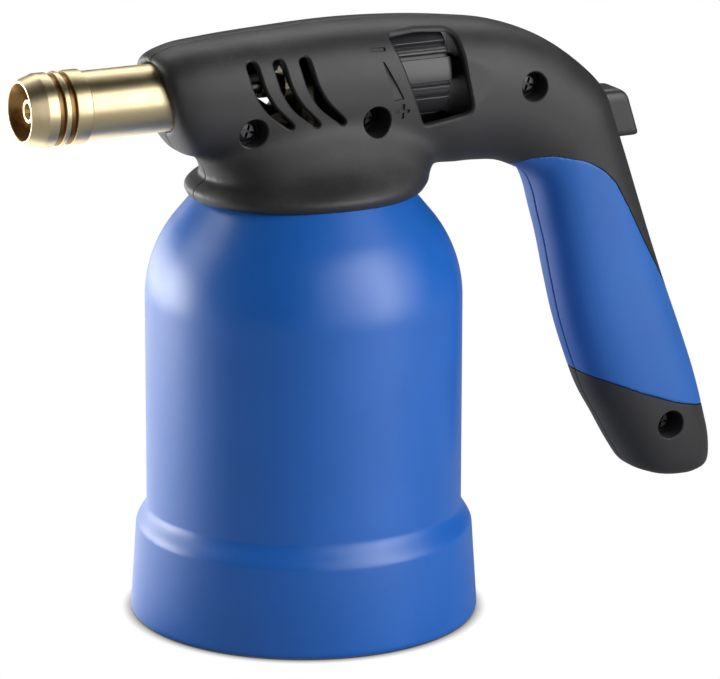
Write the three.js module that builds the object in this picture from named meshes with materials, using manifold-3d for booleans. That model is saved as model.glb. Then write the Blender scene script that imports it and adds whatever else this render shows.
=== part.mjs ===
// Gas torch that stands on the canister it burns from, with a piezo igniter in its handle.
// Millimetres, +Z up. The origin is where the canister's axis meets the ground,
// the burner points along -X and the handle hangs down on the +X side.
import * as THREE from "three";
import { mergeVertices } from "three/addons/utils/BufferGeometryUtils.js";
import Module from "manifold-3d";

const wasm = await Module();
wasm.setup();

// Clearances, cutters and facets
const restGap = 0.3; // between two pieces that rest on each other
const slideGap = 0.35; // round a piece that slides or turns
const overrun = 6; // how far a cutter runs past what it cuts
const fuse = 0.8; // how far a rib or boss runs into the wall that carries it
const weld = 0.0001; // points closer than this are one point
const LARGE_FACETS = 40;
const MEDIUM_FACETS = 24;
const SMALL_FACETS = 12;

// Gas cartridge, a pierceable can
const cartridgeRadius = 45;
const cartridgeHeight = 94;
const cartridgeWall = 0.8;
const cartridgeShoulder = 22;
const cartridgeCapRadius = 14;
const cartridgeBottomRise = 3;
const cartridgeRimWidth = 3;
const cartridgeRimInset = 1;

// Bell: the pressed steel holder with a wider skirt
const bellWall = 0.9;
const bellClearance = 1.1; // between the cartridge and the bell
const bellHeadroom = 23.7; // from the cartridge's top to the bell's top
const domeRise = 37.5;
const domeArc = 38;
const domeSlope = 39.5 * (Math.PI / 180);
const domeCrest = 4.5; // the height over which the slope turns into the flat top
const domeTopRadius = 24;
const skirtStep = 3.3;
const skirtFlare = 1.6;
const skirtHeight = 26.2;
const skirtStepHeight = 8;
const skirtLift = 0.4; // the skirt's edge above the ground
const skirtEdgeTuck = 0.6;
const skirtEdgeRise = 1.6;

// Threaded ring in the bell's top
const neckBore = 10.8;
const neckWall = 4.2;
const neckHeight = 9;
const neckFlange = 1.6;
const neckFlangeReach = 2.5;

// Bayonet foot that closes the bell from below
const footFloor = 2.4;
const footWall = 1.3;
const footSeat = 16; // the cartridge stands this high
const footRim = 4;
const footRibs = 6;
const footRibThickness = 1.6;
const pocketRadius = 24;
const pocketDepth = 7;
const twistBar = 9;
const tabCount = 3;
const tabLift = 8.5;
const tabThickness = 3;
const tabSpan = 12 * (Math.PI / 180);
const lugThickness = 2.6;
const lugSpan = 14 * (Math.PI / 180);

// Valve on the canister's axis
const stemRadius = 6.6;
const stemFootRadius = 8.6;
const stemFootHeight = 5;
const flangeRadius = 12.5;
const flangeThickness = 2;
const topFlangeRadius = 9.8;
const axisRise = 13; // the burner's axis above the housing's floor
const valveRadius = 6.5;
const valveFront = 9;
const valveBack = 11.5;
const valveNose = 6;
const valveNoseRadius = 3.4;
const valveSeatFront = 1.5; // where the spindle's bore ends
const packingRadius = 4;
const packingDepth = 5;
const glandReach = 5;
const glandRadius = 5.5;
const glandNose = 2.6;
const sealThickness = 2.2;
const sealRadius = 8;
const ringThickness = 1.5;
const needleRadius = 0.9;
const needlePoint = 3;
const needleReach = 5;
const needleSeat = 4;

// Spindle and gas knob
const spindleRadius = 2.4;
const spindleTip = 2;
const spindleNeck = 5; // the round length past the gland
const squareWidth = 3.4;
const squareLength = 11;
const squareEndGap = 1.4; // beyond the spindle's end in the knob
const knobMouthDepth = 1.8;
const knobRadius = 14;
const knobFront = 23.2;
const knobLength = 19;
const knobLobes = 7;
const knobGroove = 1.5;
const knobRest = -114 * (Math.PI / 180); // turns a broad lobe to the window
const knobDome = 3;
const knobDomeEdge = 1;
const knobStubRadius = 4;
const knobStubLength = 7;
const bearingSetback = 5;

// Burner
const tubeRadius = 10;
const tubeWall = 1;
const tubeBack = 30;
const burnerProud = 38.8; // the rim, in front of the housing's nose
const headRadius = 10.8;
const headChamfer = 5;
const headChamferDrop = 1.6;
const headBand = 3.2;
const headGrooveWidth = 2.1;
const headGrooveDepth = 1;
const headRidge = 1.4;
const headCollar = 4.7;
const headSpigot = 7.6;
const bowlRadius = 8.1;
const throatRadius = 5.8;
const bowlDepth = 6.4;
const throatLength = 3;
const chamberWall = 1;
const coreRadius = 3.5;
const coreBore = 2.3;
const coreSetback = 2.5;
const coreFlange = 2.5;
const corePorts = 6;
const corePortRadius = 0.9;
const coreTail = 6;
const mixerRadius = 4.6;
const mixerWall = 0.9;
const mixerTail = 1; // the length behind the burner tube
const airHoleRadius = 1.6;
const airHoleSetback = 4; // in front of the jet
const plugThickness = 3.4;
const plugPorts = 5;
const plugPortRadius = 1.2;
const pipeRadius = 2;
const pipeBore = 1.2;
const pipeSeat = 4; // how deep the pipe sits in the valve and in the jet
const jetRadius = 3.4;
const jetLength = 8;
const jetTip = 1.8;
const jetTipRadius = 1.6;
const jetHole = 0.4;

// Spark electrode
const electrodeOffset = 6.8;
const electrodeLift = 35 * (Math.PI / 180);
const insulatorRadius = 1.1;
const insulatorTail = 3; // the length behind the burner tube
const pinRadius = 0.35;
const sparkGap = 1;
const leadRadius = 1.3;

// Igniter and its button
const piezoLength = 24;
const piezoRadius = 5.2;
const piezoEndWall = 4;
const plungerRadius = 2.8;
const plungerInside = 7;
const plungerProud = 10; // from the igniter to the button
const springWire = 0.35;
const springTurns = 5;
const buttonTop = 15.4; // how far the button runs at its top edge
const buttonBottom = 20.2;
const buttonCorner = 2.6;
const buttonEdge = 0.8;
const buttonHalfHeight = 7.4;
const buttonHalfWidth = 6.5;
const earWidth = 1.4;
const earThickness = 2.2;
const earDrop = 1.5;
const earHeight = 10;
const earReach = 2.7;
const earLean = 3.8;

// Moulded housing, two halves that meet on the middle plane
const noseReach = 51.5;
const housingSpan = 190.5;
const housingDrop = 155.7;
const housingWidth = 36;
const crownRise = 18.2; // above the burner's axis
const housingWall = 2.5;
const gripThickness = 1.8;
const collarRadius = 36.6;
const collarDrop = 2.7; // its widest place, below the bell's top
const collarRise = 24;
const floorThickness = 2.4;
const ribThickness = 2.4;
const frontRibGap = 3.4;
const piezoRibInset = 2;
const piezoRibRise = 4;
const slotCount = 3;
const slotWidthTop = 3.4;
const slotWidthBottom = 1.8;
const SECTION_COUNT = 30;
const SECTION_POINTS = 24;
const CAVITY_COUNT = 22;
const CAVITY_POINTS = 16;
const sectionSquareness = 2.6;

// Housing screws
const screwHoleRadius = 4.4;
const screwHeadRadius = 3.3;
const screwHeadHeight = 2.2;
const screwShankRadius = 1.4;
const screwReach = 9;
const screwCross = 0.8; // the width of a slot in the head
const screwCrossReach = 2.2;
const screwCrossDepth = 1.1;
const bossWall = 1.5;
const bossCoreRadius = 3.5;
const bossSink = 0.5;
const bossFloor = 2.4;
const frontScrewReach = 23.8;

// Housing sections from the nose to the handle's end. Each holds the crown point, the
// belly point (shares of the span and of the drop) and half the width (share of the width).
const sectionShares = [
  [0.01, 0.067, 0.032, 0.18, 0.322],
  [0.018, 0.045, 0.038, 0.198, 0.378],
  [0.05, 0.022, 0.057, 0.225, 0.428],
  [0.108, 0.014, 0.102, 0.238, 0.461],
  [0.205, 0.0075, 0.192, 0.246, 0.489],
  [0.328, 0.0035, 0.302, 0.254, 0.5],
  [0.436, 0.009, 0.407, 0.275, 0.5],
  [0.522, 0.02, 0.486, 0.297, 0.494],
  [0.596, 0.0355, 0.543, 0.299, 0.478],
  [0.669, 0.069, 0.592, 0.3055, 0.461],
  [0.735, 0.123, 0.634, 0.322, 0.447],
  [0.782, 0.181, 0.657, 0.342, 0.439],
  [0.803, 0.245, 0.6715, 0.376, 0.428],
  [0.823, 0.311, 0.682, 0.425, 0.417],
  [0.847, 0.396, 0.6945, 0.482, 0.408],
  [0.871, 0.48, 0.7095, 0.566, 0.403],
  [0.901, 0.581, 0.726, 0.649, 0.403],
  [0.933, 0.683, 0.748, 0.73, 0.403],
  [0.96, 0.775, 0.771, 0.8, 0.4],
  [0.979, 0.856, 0.799, 0.859, 0.389],
  [0.992, 0.92, 0.829, 0.92, 0.367],
  [0.989, 0.965, 0.855, 0.957, 0.333],
  [0.967, 0.986, 0.882, 0.976, 0.267],
];
// Neck sections from the collar's lower edge up into the barrel: height as a share of
// the collar's rise, then front, back and side reach as shares of its radius.
const neckShares = [
  [-0.11, 0.951, 0.985, 0.863],
  [0, 0.982, 1.033, 0.891],
  [0.087, 0.94, 1.05, 0.852],
  [0.175, 0.875, 1.092, 0.776],
  [0.279, 0.872, 1.15, 0.694],
  [0.404, 0.905, 1.205, 0.623],
  [0.571, 0.945, 1.245, 0.552],
  [0.779, 1.011, 1.28, 0.475],
];
// One lobe of the knob and the narrow bar beside it: the share of the lobe's turn, and the
// share of the groove's depth
const knobShares = [
  [0, 1], [0.05, 0], [0.28, 0], [0.52, 0], [0.57, 1], [0.67, 1], [0.71, 0.3], [0.85, 0.3], [0.9, 1],
];
// Outlines in the side view, as shares of the span and of the drop
const gripShares = [
  [0.618, 0.322], [0.619, 0.308], [0.634, 0.296], [0.672, 0.294], [0.727, 0.31],
  [0.757, 0.331], [0.782, 0.359], [0.809, 0.414], [0.844, 0.492], [0.879, 0.561],
  [0.902, 0.602], [0.937, 0.656], [1.01, 0.676], [1.031, 0.865], [0.971, 0.846],
  [0.902, 0.823], [0.844, 0.797], [0.796, 0.772], [0.756, 0.754], [0.734, 0.751],
  [0.669, 0.74], [0.606, 0.444],
];
const slotShares = [[0.1455, 0.056], [0.154, 0.099], [0.173, 0.138], [0.2055, 0.174]];
const slotPitchShare = 0.0433;
// The knob's window, as shares of the knob's length and radius
const windowShares = [
  [-0.11, 0.94], [0.37, -0.77], [0.49, -0.88], [0.78, -0.86], [1.08, -0.81], [1.22, -0.56],
  [1.1, 0.19], [1.07, 0.69], [0.97, 0.86], [0.48, 0.99], [-0.09, 1.01],
];
// The lead's route. Along it is a share of the knob's distance from the canister's axis, and
// past 1 of the stretch from the knob to the igniter. Side and rise are shares of the knob's radius.
const leadShares = [
  [1.855, 0.036, -1.336], [1.671, 0.214, -1.393], [1.394, 0.429, -1.464], [1.148, 0.607, -1.429],
  [1.009, 0.743, -1.257], [0.914, 0.8, -0.929], [0.879, 0.8, -0.571], [0.75, 0.771, -0.214],
  [0.474, 0.736, 0.071], [0.172, 0.657, 0.357], [-0.086, 0.464, 0.614], [-0.28, 0.143, 0.707],
  [-0.414, -0.171, 0.614], [-0.52, -0.34, 0.46], [-0.72, -0.393, 0.3],
];
// Places in the side view, as shares of the span and of the drop
const rearScrewShare = [0.629, 0.15];
const handleScrewShare = [0.894, 0.868];
const buttonShare = [0.743, 0.2385]; // the button's root, level with the igniter's axis
// Shares of the way from the nose to the handle's end
const handleStartShare = 0.52; // where the barrel turns down and the wall starts to thicken
const handleRunShare = 0.1; // the stretch over which it thickens
const cavityStartShare = 0.07;
const cavityEndShare = 0.975;
// Where the screw heads seat, as shares of half the housing's width
const barrelSeatShare = 0.5;
const middleSeatShare = 0.42;
const handleSeatShare = 0.3;

// Heights and places that follow from the sizes above
const bellRadius = cartridgeRadius + bellClearance + bellWall;
const skirtTopRadius = bellRadius + skirtStep;
const skirtRadius = skirtTopRadius + skirtFlare;
const footOuter = cartridgeRadius + slideGap + footWall;
const tabTop = tabLift + tabThickness;
const lugBase = tabTop + restGap;
const cartridgeBase = footSeat + restGap;
const cartridgeTop = cartridgeBase + cartridgeHeight;
const bellHeight = cartridgeTop + bellHeadroom;
const pierceRadius = needleRadius + restGap;
const sealBase = cartridgeTop + restGap;
const stemBottom = sealBase + sealThickness + restGap;
const neckRadius = neckBore + neckWall;
const neckFlangeTop = bellHeight - bellWall - restGap;
const neckBottom = neckFlangeTop - neckFlange;
const neckTop = bellHeight + neckHeight;
const flangeBase = neckTop + restGap;
const floorBase = flangeBase + flangeThickness + restGap;
const floorTop = floorBase + floorThickness;
const axisHeight = floorTop + axisRise;
const crownHeight = axisHeight + crownRise;
const spanX = (share) => housingSpan * share - noseReach;
const dropZ = (share) => crownHeight - housingDrop * share;
const collarHeight = bellHeight - collarDrop;
const spindleBore = spindleRadius + slideGap;
const mixerBore = mixerRadius - mixerWall;
const mixerBack = tubeBack - mixerTail;
const jetFront = tubeBack + jetLength;
const tubeBore = tubeRadius - tubeWall;
const burnerReach = noseReach + burnerProud;
const headBack = burnerReach - headChamfer - headBand - 2 * headGrooveWidth - headRidge - headCollar;
const spigotRadius = tubeBore - restGap;
const chamberRadius = spigotRadius - chamberWall;
const throatBack = burnerReach - bowlDepth - throatLength;
const insulatorFront = headBack - headSpigot - restGap;
const insulatorBack = tubeBack - insulatorTail;
const coreFront = burnerReach - coreSetback;
const coreShoulder = throatBack - restGap;
const coreBack = coreShoulder - coreFlange;
const mixerFront = coreBack - restGap;
const glandBack = valveBack + restGap + glandReach;
const knobBack = knobFront + knobLength;
const bearingFront = knobBack + bearingSetback;
const [buttonFront, piezoHeight] = [spanX(buttonShare[0]), dropZ(buttonShare[1])];
const piezoBack = buttonFront - plungerProud;
const piezoFront = piezoBack - piezoLength;
const plungerFront = piezoBack - plungerInside;
const middleScrewX = valveBack + restGap + bossCoreRadius;
const bossHeight = floorTop + bossCoreRadius - bossSink;
const seatOf = (share) => (share * housingWidth) / 2;
const sidePoint = ([x, z]) => [spanX(x), dropZ(z)];
const sidePoints = (shares) => shares.map(sidePoint);

// Turns a closed geometry into a solid with its faces pointing out.
function solid(geometry) {
  const bare = geometry.index ? geometry.toNonIndexed() : geometry.clone();
  for (const name of Object.keys(bare.attributes)) {
    if (name !== "position") bare.deleteAttribute(name);
  }
  const merged = mergeVertices(bare, weld);
  const corners = merged.index.array;
  const faces = [];
  for (let i = 0; i < corners.length; i += 3) {
    const [a, b, c] = [corners[i], corners[i + 1], corners[i + 2]];
    if (a !== b && b !== c && c !== a) faces.push([a, b, c]);
  }
  const build = (triangles) => {
    const vertProperties = merged.attributes.position.array;
    const triVerts = new Uint32Array(triangles.flat());
    return new wasm.Manifold(new wasm.Mesh({ numProp: 3, vertProperties, triVerts }));
  };
  const made = build(faces);
  return made.volume() < 0 ? build(faces.map(([a, b, c]) => [a, c, b])) : made;
}

function geometryOf(shape) {
  const mesh = shape.getMesh();
  const geometry = new THREE.BufferGeometry();
  geometry.setAttribute("position", new THREE.BufferAttribute(mesh.vertProperties.slice(), 3));
  geometry.setIndex(new THREE.BufferAttribute(mesh.triVerts.slice(), 1));
  return geometry;
}

// A lathe about Z from [radius, height] points. A profile that leaves the axis ends on it,
// and any other one is closed here.
function latheGeometry(profile, facets) {
  const points = profile.map(([radius, height]) => new THREE.Vector2(radius, height));
  if (profile[0][0] > 0) points.push(points[0].clone());
  return new THREE.LatheGeometry(points, facets).rotateX(Math.PI / 2);
}

function turned(profile, facets = LARGE_FACETS) {
  return solid(latheGeometry(profile, facets));
}

// The same about an axis along X, at a height and a sideways place. Its points are
// [radius, distance in front of the canister's axis].
function turnedAlongX(profile, facets = MEDIUM_FACETS, height = axisHeight, side = 0) {
  const forward = profile.map(([radius, distance]) => [radius, -distance]);
  const geometry = latheGeometry(forward, facets).rotateY(Math.PI / 2);
  return solid(geometry.translate(0, side, height));
}

const rodProfile = (radius, from, to) => [[0, from], [radius, from], [radius, to], [0, to]];
const tubeProfile = (bore, radius, from, to) => [[bore, from], [radius, from], [radius, to], [bore, to]];

function rod(radius, from, to, facets = MEDIUM_FACETS) {
  return turned(rodProfile(radius, from, to), facets);
}

// A rod along Y through a point [x, z] of the side view
function rodAcross(radius, [x, z], fromY, toY, facets = SMALL_FACETS) {
  const geometry = latheGeometry(rodProfile(radius, fromY, toY), facets);
  return solid(geometry.rotateX(-Math.PI / 2).translate(x, 0, z));
}

// A box between two corners, turned about Z if need be
function box(low, high, turn = 0) {
  const size = high.map((value, i) => value - low[i]);
  const middle = high.map((value, i) => (value + low[i]) / 2);
  return solid(new THREE.BoxGeometry(...size).translate(...middle).rotateZ(turn));
}

// A prism of an outline in the side view, between two Y values
function prism(outline, fromY, toY) {
  const shape = new THREE.Shape(outline.map(([x, z]) => new THREE.Vector2(x, z)));
  const geometry = new THREE.ExtrudeGeometry(shape, { depth: toY - fromY, bevelEnabled: false });
  return solid(geometry.rotateX(Math.PI / 2).translate(0, toY, 0));
}

// A stretch of a ring about Z, centred on the angle middle
function sector(inner, outer, low, high, middle, span) {
  const [start, end] = [middle - span / 2, middle + span / 2];
  const shape = new THREE.Shape();
  shape.absarc(0, 0, outer, start, end, false);
  shape.absarc(0, 0, inner, end, start, true);
  const options = { depth: high - low, bevelEnabled: false, curveSegments: 4 };
  return solid(new THREE.ExtrudeGeometry(shape, options).translate(0, 0, low));
}

// A closed skin through rings that have the same number of points
function loft(rings) {
  const count = rings[0].length;
  const positions = rings.flat().flatMap((point) => point.toArray());
  const faces = [];
  for (let ring = 0; ring + 1 < rings.length; ring++) {
    for (let i = 0; i < count; i++) {
      const [here, next] = [ring * count, (ring + 1) * count];
      const j = (i + 1) % count;
      faces.push(here + i, here + j, next + j, here + i, next + j, next + i);
    }
  }
  const ends = [[rings[0], 0, 1], [rings.at(-1), (rings.length - 1) * count, 0]];
  for (const [ring, start, flip] of ends) {
    const hub = positions.length / 3;
    const middle = new THREE.Vector3();
    for (const point of ring) middle.addScaledVector(point, 1 / count);
    positions.push(...middle.toArray());
    for (let i = 0; i < count; i++) {
      const edge = [start + i, start + ((i + 1) % count)];
      faces.push(hub, edge[flip], edge[1 - flip]);
    }
  }
  const geometry = new THREE.BufferGeometry();
  geometry.setAttribute("position", new THREE.Float32BufferAttribute(positions, 3));
  geometry.setIndex(faces);
  return solid(geometry);
}

// A tube of a round section along a smooth path
function tubeAlong(points, radius, sides, steps) {
  const section = new THREE.Shape().absarc(0, 0, radius, 0, 2 * Math.PI, false);
  const outline = section.getSpacedPoints(sides).slice(0, sides);
  const path = new THREE.CatmullRomCurve3(points.map((point) => new THREE.Vector3(...point)));
  const options = { steps, bevelEnabled: false, extrudePath: path };
  return solid(new THREE.ExtrudeGeometry(new THREE.Shape(outline), options));
}

const join = (shapes) => shapes.reduce((sum, shape) => sum.add(shape));
const cut = (shape, cutters) => cutters.reduce((left, cutter) => left.subtract(cutter), shape);

// Angles of pieces that repeat round a circle
const turns = (count, start = 0) =>
  Array.from({ length: count }, (_, i) => start + (i * 2 * Math.PI) / count);

const group = new THREE.Group();

function addPiece(name, shape, material) {
  const mesh = new THREE.Mesh(geometryOf(shape), material);
  mesh.name = name;
  group.add(mesh);
}

const finish = (color, roughness, metalness) =>
  new THREE.MeshStandardMaterial({ color, roughness, metalness });
const bluePaint = finish(0x2457a8, 0.45, 0.1);
const blackPlastic = finish(0x2c2c2e, 0.55, 0);
const blueRubber = finish(0x2f5db4, 0.65, 0);
const brass = finish(0xc9b274, 0.28, 1);
const steel = finish(0xa9abad, 0.35, 1);
const ceramic = finish(0xf1eee6, 0.35, 0);
const blackRubber = finish(0x1b1b1c, 0.8, 0);
const canPaint = finish(0xd8d8d4, 0.35, 0.6);

// Bell: its outer face from the skirt's edge to the mouth, or a face inside that one
function bellFace(inset) {
  const face = [];
  const edgeSteps = 2;
  for (let i = 0; i <= edgeSteps; i++) {
    const angle = (Math.PI / 2) * (i / edgeSteps);
    const radius = skirtRadius - skirtEdgeTuck * (1 - Math.sin(angle)) - inset;
    face.push([radius, skirtLift + skirtEdgeRise * (1 - Math.cos(angle))]);
  }
  const stepSteps = 4;
  for (let i = 0; i <= stepSteps; i++) {
    const drop = (1 - Math.cos((Math.PI * i) / stepSteps)) / 2;
    face.push([skirtTopRadius - inset - skirtStep * drop, skirtHeight + (skirtStepHeight * i) / stepSteps]);
  }
  const domeSteps = 3;
  const arc = domeArc - inset;
  const domeStart = bellHeight - domeRise;
  for (let i = 0; i <= domeSteps; i++) {
    const angle = domeSlope * (i / domeSteps);
    face.push([bellRadius - domeArc + arc * Math.cos(angle), domeStart + arc * Math.sin(angle)]);
  }
  const [lastRadius, lastHeight] = face.at(-1);
  const top = bellHeight - inset;
  const slopeRadius = (height) => lastRadius - (height - lastHeight) * Math.tan(domeSlope);
  const [start, corner] = [top - domeCrest, top].map(
    (height) => new THREE.Vector2(slopeRadius(height), height),
  );
  const crest = new THREE.QuadraticBezierCurve(start, corner, new THREE.Vector2(domeTopRadius, top));
  face.push(...crest.getPoints(2).map((point) => point.toArray()));
  return face;
}

function makeBell() {
  const mouth = neckRadius + restGap;
  const lip = [[mouth, bellHeight], [mouth, bellHeight - bellWall]];
  return turned([...bellFace(0), ...lip, ...bellFace(bellWall).reverse()]);
}

function makeNeckRing() {
  return turned([
    [neckBore, neckBottom],
    [neckRadius + neckFlangeReach, neckBottom],
    [neckRadius + neckFlangeReach, neckFlangeTop],
    [neckRadius, neckFlangeTop],
    [neckRadius, neckTop],
    [neckBore, neckTop],
  ], MEDIUM_FACETS);
}

// Radius of the skirt's inner face at a height
function skirtInside(height) {
  const edgeTop = skirtLift + skirtEdgeRise;
  const share = (height - edgeTop) / (skirtHeight - edgeTop);
  return skirtRadius - skirtFlare * share - bellWall;
}

function makeTab(angle) {
  return sector(footOuter + slideGap, skirtInside(tabTop) - restGap, tabLift, tabTop, angle, tabSpan);
}

// Foot: a floor that fills the skirt, a rim round the cartridge, ribs that carry it,
// and two finger pockets either side of a bar to twist it by
function makeFoot() {
  const floorRadius = skirtRadius - skirtEdgeTuck - bellWall - slideGap;
  const rimRadius = cartridgeRadius + slideGap;
  const cup = turned([
    [0, 0], [floorRadius, 0], [floorRadius, footFloor], [footOuter, footFloor],
    [footOuter, footSeat + footRim], [rimRadius, footSeat + footRim], [rimRadius, footFloor], [0, footFloor],
  ]);
  const hubRadius = pocketRadius + footFloor;
  const hub = rod(hubRadius, 0, pocketDepth + footFloor, LARGE_FACETS);
  const rib = (angle) =>
    box(
      [pocketRadius, -footRibThickness / 2, footFloor - fuse],
      [rimRadius + footWall / 2, footRibThickness / 2, footSeat],
      angle,
    );
  const lugTop = lugBase + lugThickness;
  const lug = (angle) =>
    sector(footOuter - footWall / 2, skirtInside(lugTop) - slideGap, lugBase, lugTop, angle, lugSpan);
  const bar = box([-pocketRadius, -twistBar / 2, -overrun], [pocketRadius, twistBar / 2, pocketDepth]);
  const pockets = rod(pocketRadius, -overrun, pocketDepth, LARGE_FACETS).subtract(bar);
  const body = join([cup, hub, ...turns(footRibs, Math.PI / footRibs).map(rib), ...turns(tabCount).map(lug)]);
  return body.subtract(pockets);
}

function makeCartridge() {
  const face = (inset) => {
    const points = [
      [cartridgeRadius - cartridgeRimInset - inset, cartridgeBase + inset],
      [cartridgeRadius - inset, cartridgeBase + cartridgeRimInset + inset],
    ];
    const steps = 5;
    const reach = cartridgeRadius - cartridgeCapRadius;
    for (let i = 0; i <= steps; i++) {
      const angle = (Math.PI / 2) * (i / steps);
      const radius = cartridgeCapRadius + (reach - inset) * Math.cos(angle);
      points.push([radius, cartridgeTop - cartridgeShoulder + (cartridgeShoulder - inset) * Math.sin(angle)]);
    }
    return points;
  };
  const rimInside = cartridgeRadius - cartridgeRimInset - cartridgeRimWidth;
  const bottom = cartridgeBase + cartridgeBottomRise;
  return turned([
    [0, bottom],
    [rimInside, bottom],
    [rimInside, cartridgeBase],
    ...face(0),
    [pierceRadius, cartridgeTop],
    [pierceRadius, cartridgeTop - cartridgeWall],
    ...face(cartridgeWall).slice(2).reverse(),
    [cartridgeRadius - cartridgeWall, bottom + cartridgeWall],
    [0, bottom + cartridgeWall],
  ], MEDIUM_FACETS);
}

// Valve: a stem down to the cartridge, a body across it and two flanges round the
// housing's floor
function makeValve() {
  const noseEnd = valveFront + valveNose;
  const body = join([
    rod(stemRadius, stemBottom, axisHeight),
    rod(stemFootRadius, stemBottom, stemBottom + stemFootHeight),
    rod(neckBore - restGap, neckBottom, flangeBase + flangeThickness / 2),
    rod(flangeRadius, flangeBase, flangeBase + flangeThickness),
    rod(topFlangeRadius, floorTop + restGap, floorTop + restGap + flangeThickness),
    turnedAlongX(rodProfile(valveRadius, valveFront, -valveBack)),
    turnedAlongX(rodProfile(valveNoseRadius, noseEnd, 0)),
  ]);
  return cut(body, [
    rod(pierceRadius, stemBottom - overrun, axisHeight, SMALL_FACETS),
    turnedAlongX(rodProfile(pierceRadius, noseEnd + overrun, 0), SMALL_FACETS),
    turnedAlongX(rodProfile(pipeRadius + restGap, noseEnd + overrun, noseEnd - pipeSeat), SMALL_FACETS),
    turnedAlongX(rodProfile(spindleBore, valveSeatFront, -valveBack - overrun)),
    turnedAlongX(rodProfile(packingRadius, packingDepth - valveBack, -valveBack - overrun)),
  ]);
}

function makeNeedle() {
  const tip = cartridgeTop - needleReach;
  const top = stemBottom + needleSeat;
  return turned([[0, tip], [needleRadius, tip + needlePoint], [needleRadius, top], [0, top]], SMALL_FACETS);
}

function makeSeal() {
  return turned(tubeProfile(pierceRadius, sealRadius, sealBase, sealBase + sealThickness), MEDIUM_FACETS);
}

function makeSpindleRing() {
  const front = -(valveBack - packingDepth + restGap);
  const profile = tubeProfile(spindleBore, packingRadius - restGap, front, front - ringThickness);
  return turnedAlongX(profile, SMALL_FACETS);
}

function makeGland() {
  const profile = [
    [spindleBore, -(valveBack - glandNose)],
    [packingRadius - restGap, -(valveBack - glandNose)],
    [packingRadius - restGap, -(valveBack + restGap)],
    [glandRadius, -(valveBack + restGap)],
    [glandRadius, -glandBack],
    [spindleBore, -glandBack],
  ];
  return turnedAlongX(profile, SMALL_FACETS);
}

function makeSpindle() {
  const front = valveSeatFront - restGap;
  const squareStart = glandBack + spindleNeck;
  const round = turnedAlongX([
    [0, front], [spindleRadius, front - spindleTip], [spindleRadius, -squareStart], [0, -squareStart],
  ], SMALL_FACETS);
  const half = squareWidth / 2;
  const square = box(
    [squareStart - fuse, -half, axisHeight - half],
    [squareStart + squareLength, half, axisHeight + half],
  );
  return round.add(square);
}

// Knob: a lobed roller with a domed back, a square hole for the spindle and a stub that
// turns in the housing
function makeKnob() {
  const outline = turns(knobLobes, knobRest).flatMap((start) => knobShares.map(([turn, depth]) => {
    const angle = start + (turn * 2 * Math.PI) / knobLobes;
    const radius = knobRadius - depth * knobGroove;
    return new THREE.Vector2(radius * Math.cos(angle), radius * Math.sin(angle));
  }));
  const options = { depth: knobLength, bevelEnabled: false };
  const lobed = new THREE.ExtrudeGeometry(new THREE.Shape(outline), options);
  const body = solid(lobed.rotateY(Math.PI / 2).translate(knobFront, 0, axisHeight));
  const envelope = turnedAlongX([
    [0, -knobFront + overrun],
    [knobRadius + slideGap, -knobFront + overrun],
    [knobRadius + slideGap, -knobBack + knobDome],
    [knobRadius - knobDomeEdge, -knobBack + knobDomeEdge],
    [knobRadius - knobDome, -knobBack],
    [0, -knobBack],
  ], LARGE_FACETS);
  const stub = turnedAlongX(rodProfile(knobStubRadius, -knobBack + fuse, -knobBack - knobStubLength));
  const half = squareWidth / 2 + slideGap;
  const holeEnd = glandBack + spindleNeck + squareLength + squareEndGap;
  const hole = box([knobFront - overrun, -half, axisHeight - half], [holeEnd, half, axisHeight + half]);
  const mouth = turnedAlongX(rodProfile(spindleBore, -knobFront + overrun, -knobFront - knobMouthDepth));
  return cut(body.intersect(envelope).add(stub), [hole, mouth]);
}

function makeBurnerHead() {
  const rimRadius = headRadius - headChamferDrop;
  const ringRadius = headRadius - headGrooveDepth;
  const outer = [[rimRadius, burnerReach]];
  let place = burnerReach - headChamfer;
  outer.push([headRadius, place]);
  const bands = [
    [headRadius, headBand], [ringRadius, headGrooveWidth], [headRadius, headRidge],
    [ringRadius, headGrooveWidth], [headRadius, headCollar],
  ];
  for (const [radius, width] of bands) {
    outer.push([radius, place], [radius, place - width]);
    place -= width;
  }
  return turnedAlongX([
    ...outer,
    [spigotRadius, headBack],
    [spigotRadius, headBack - headSpigot],
    [chamberRadius, headBack - headSpigot],
    [chamberRadius, throatBack],
    [throatRadius, throatBack],
    [throatRadius, throatBack + throatLength],
    [bowlRadius, burnerReach],
  ]);
}

function makeBurnerTube() {
  return turnedAlongX(tubeProfile(tubeBore, tubeRadius, headBack - restGap, tubeBack));
}

// The electrode's place beside the burner's axis
const electrodeAngle = Math.PI - electrodeLift;
const electrodeSide = electrodeOffset * Math.cos(electrodeAngle);
const electrodeHeight = axisHeight + electrodeOffset * Math.sin(electrodeAngle);

// Cutters for ports along the burner, at angles on a circle round its axis
function portCutters(angles, circle, radius, front, back) {
  const profile = rodProfile(radius, front + overrun, back - overrun);
  return angles.map((angle) => {
    const [side, rise] = [circle * Math.cos(angle), circle * Math.sin(angle)];
    return turnedAlongX(profile, SMALL_FACETS / 2, axisHeight + rise, side);
  });
}

// Plug: holds the mixer tube, and lets the electrode and the air through
function makePlug() {
  const front = tubeBack + plugThickness;
  const disc = turnedAlongX(tubeProfile(mixerRadius + restGap, spigotRadius, front, tubeBack + restGap / 2));
  const hole = turnedAlongX(
    rodProfile(insulatorRadius + restGap, front + overrun, tubeBack - overrun),
    SMALL_FACETS, electrodeHeight, electrodeSide,
  );
  const angles = turns(plugPorts + 1, electrodeAngle).slice(1);
  return cut(disc, [hole, ...portCutters(angles, electrodeOffset, plugPortRadius, front, tubeBack)]);
}

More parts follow.
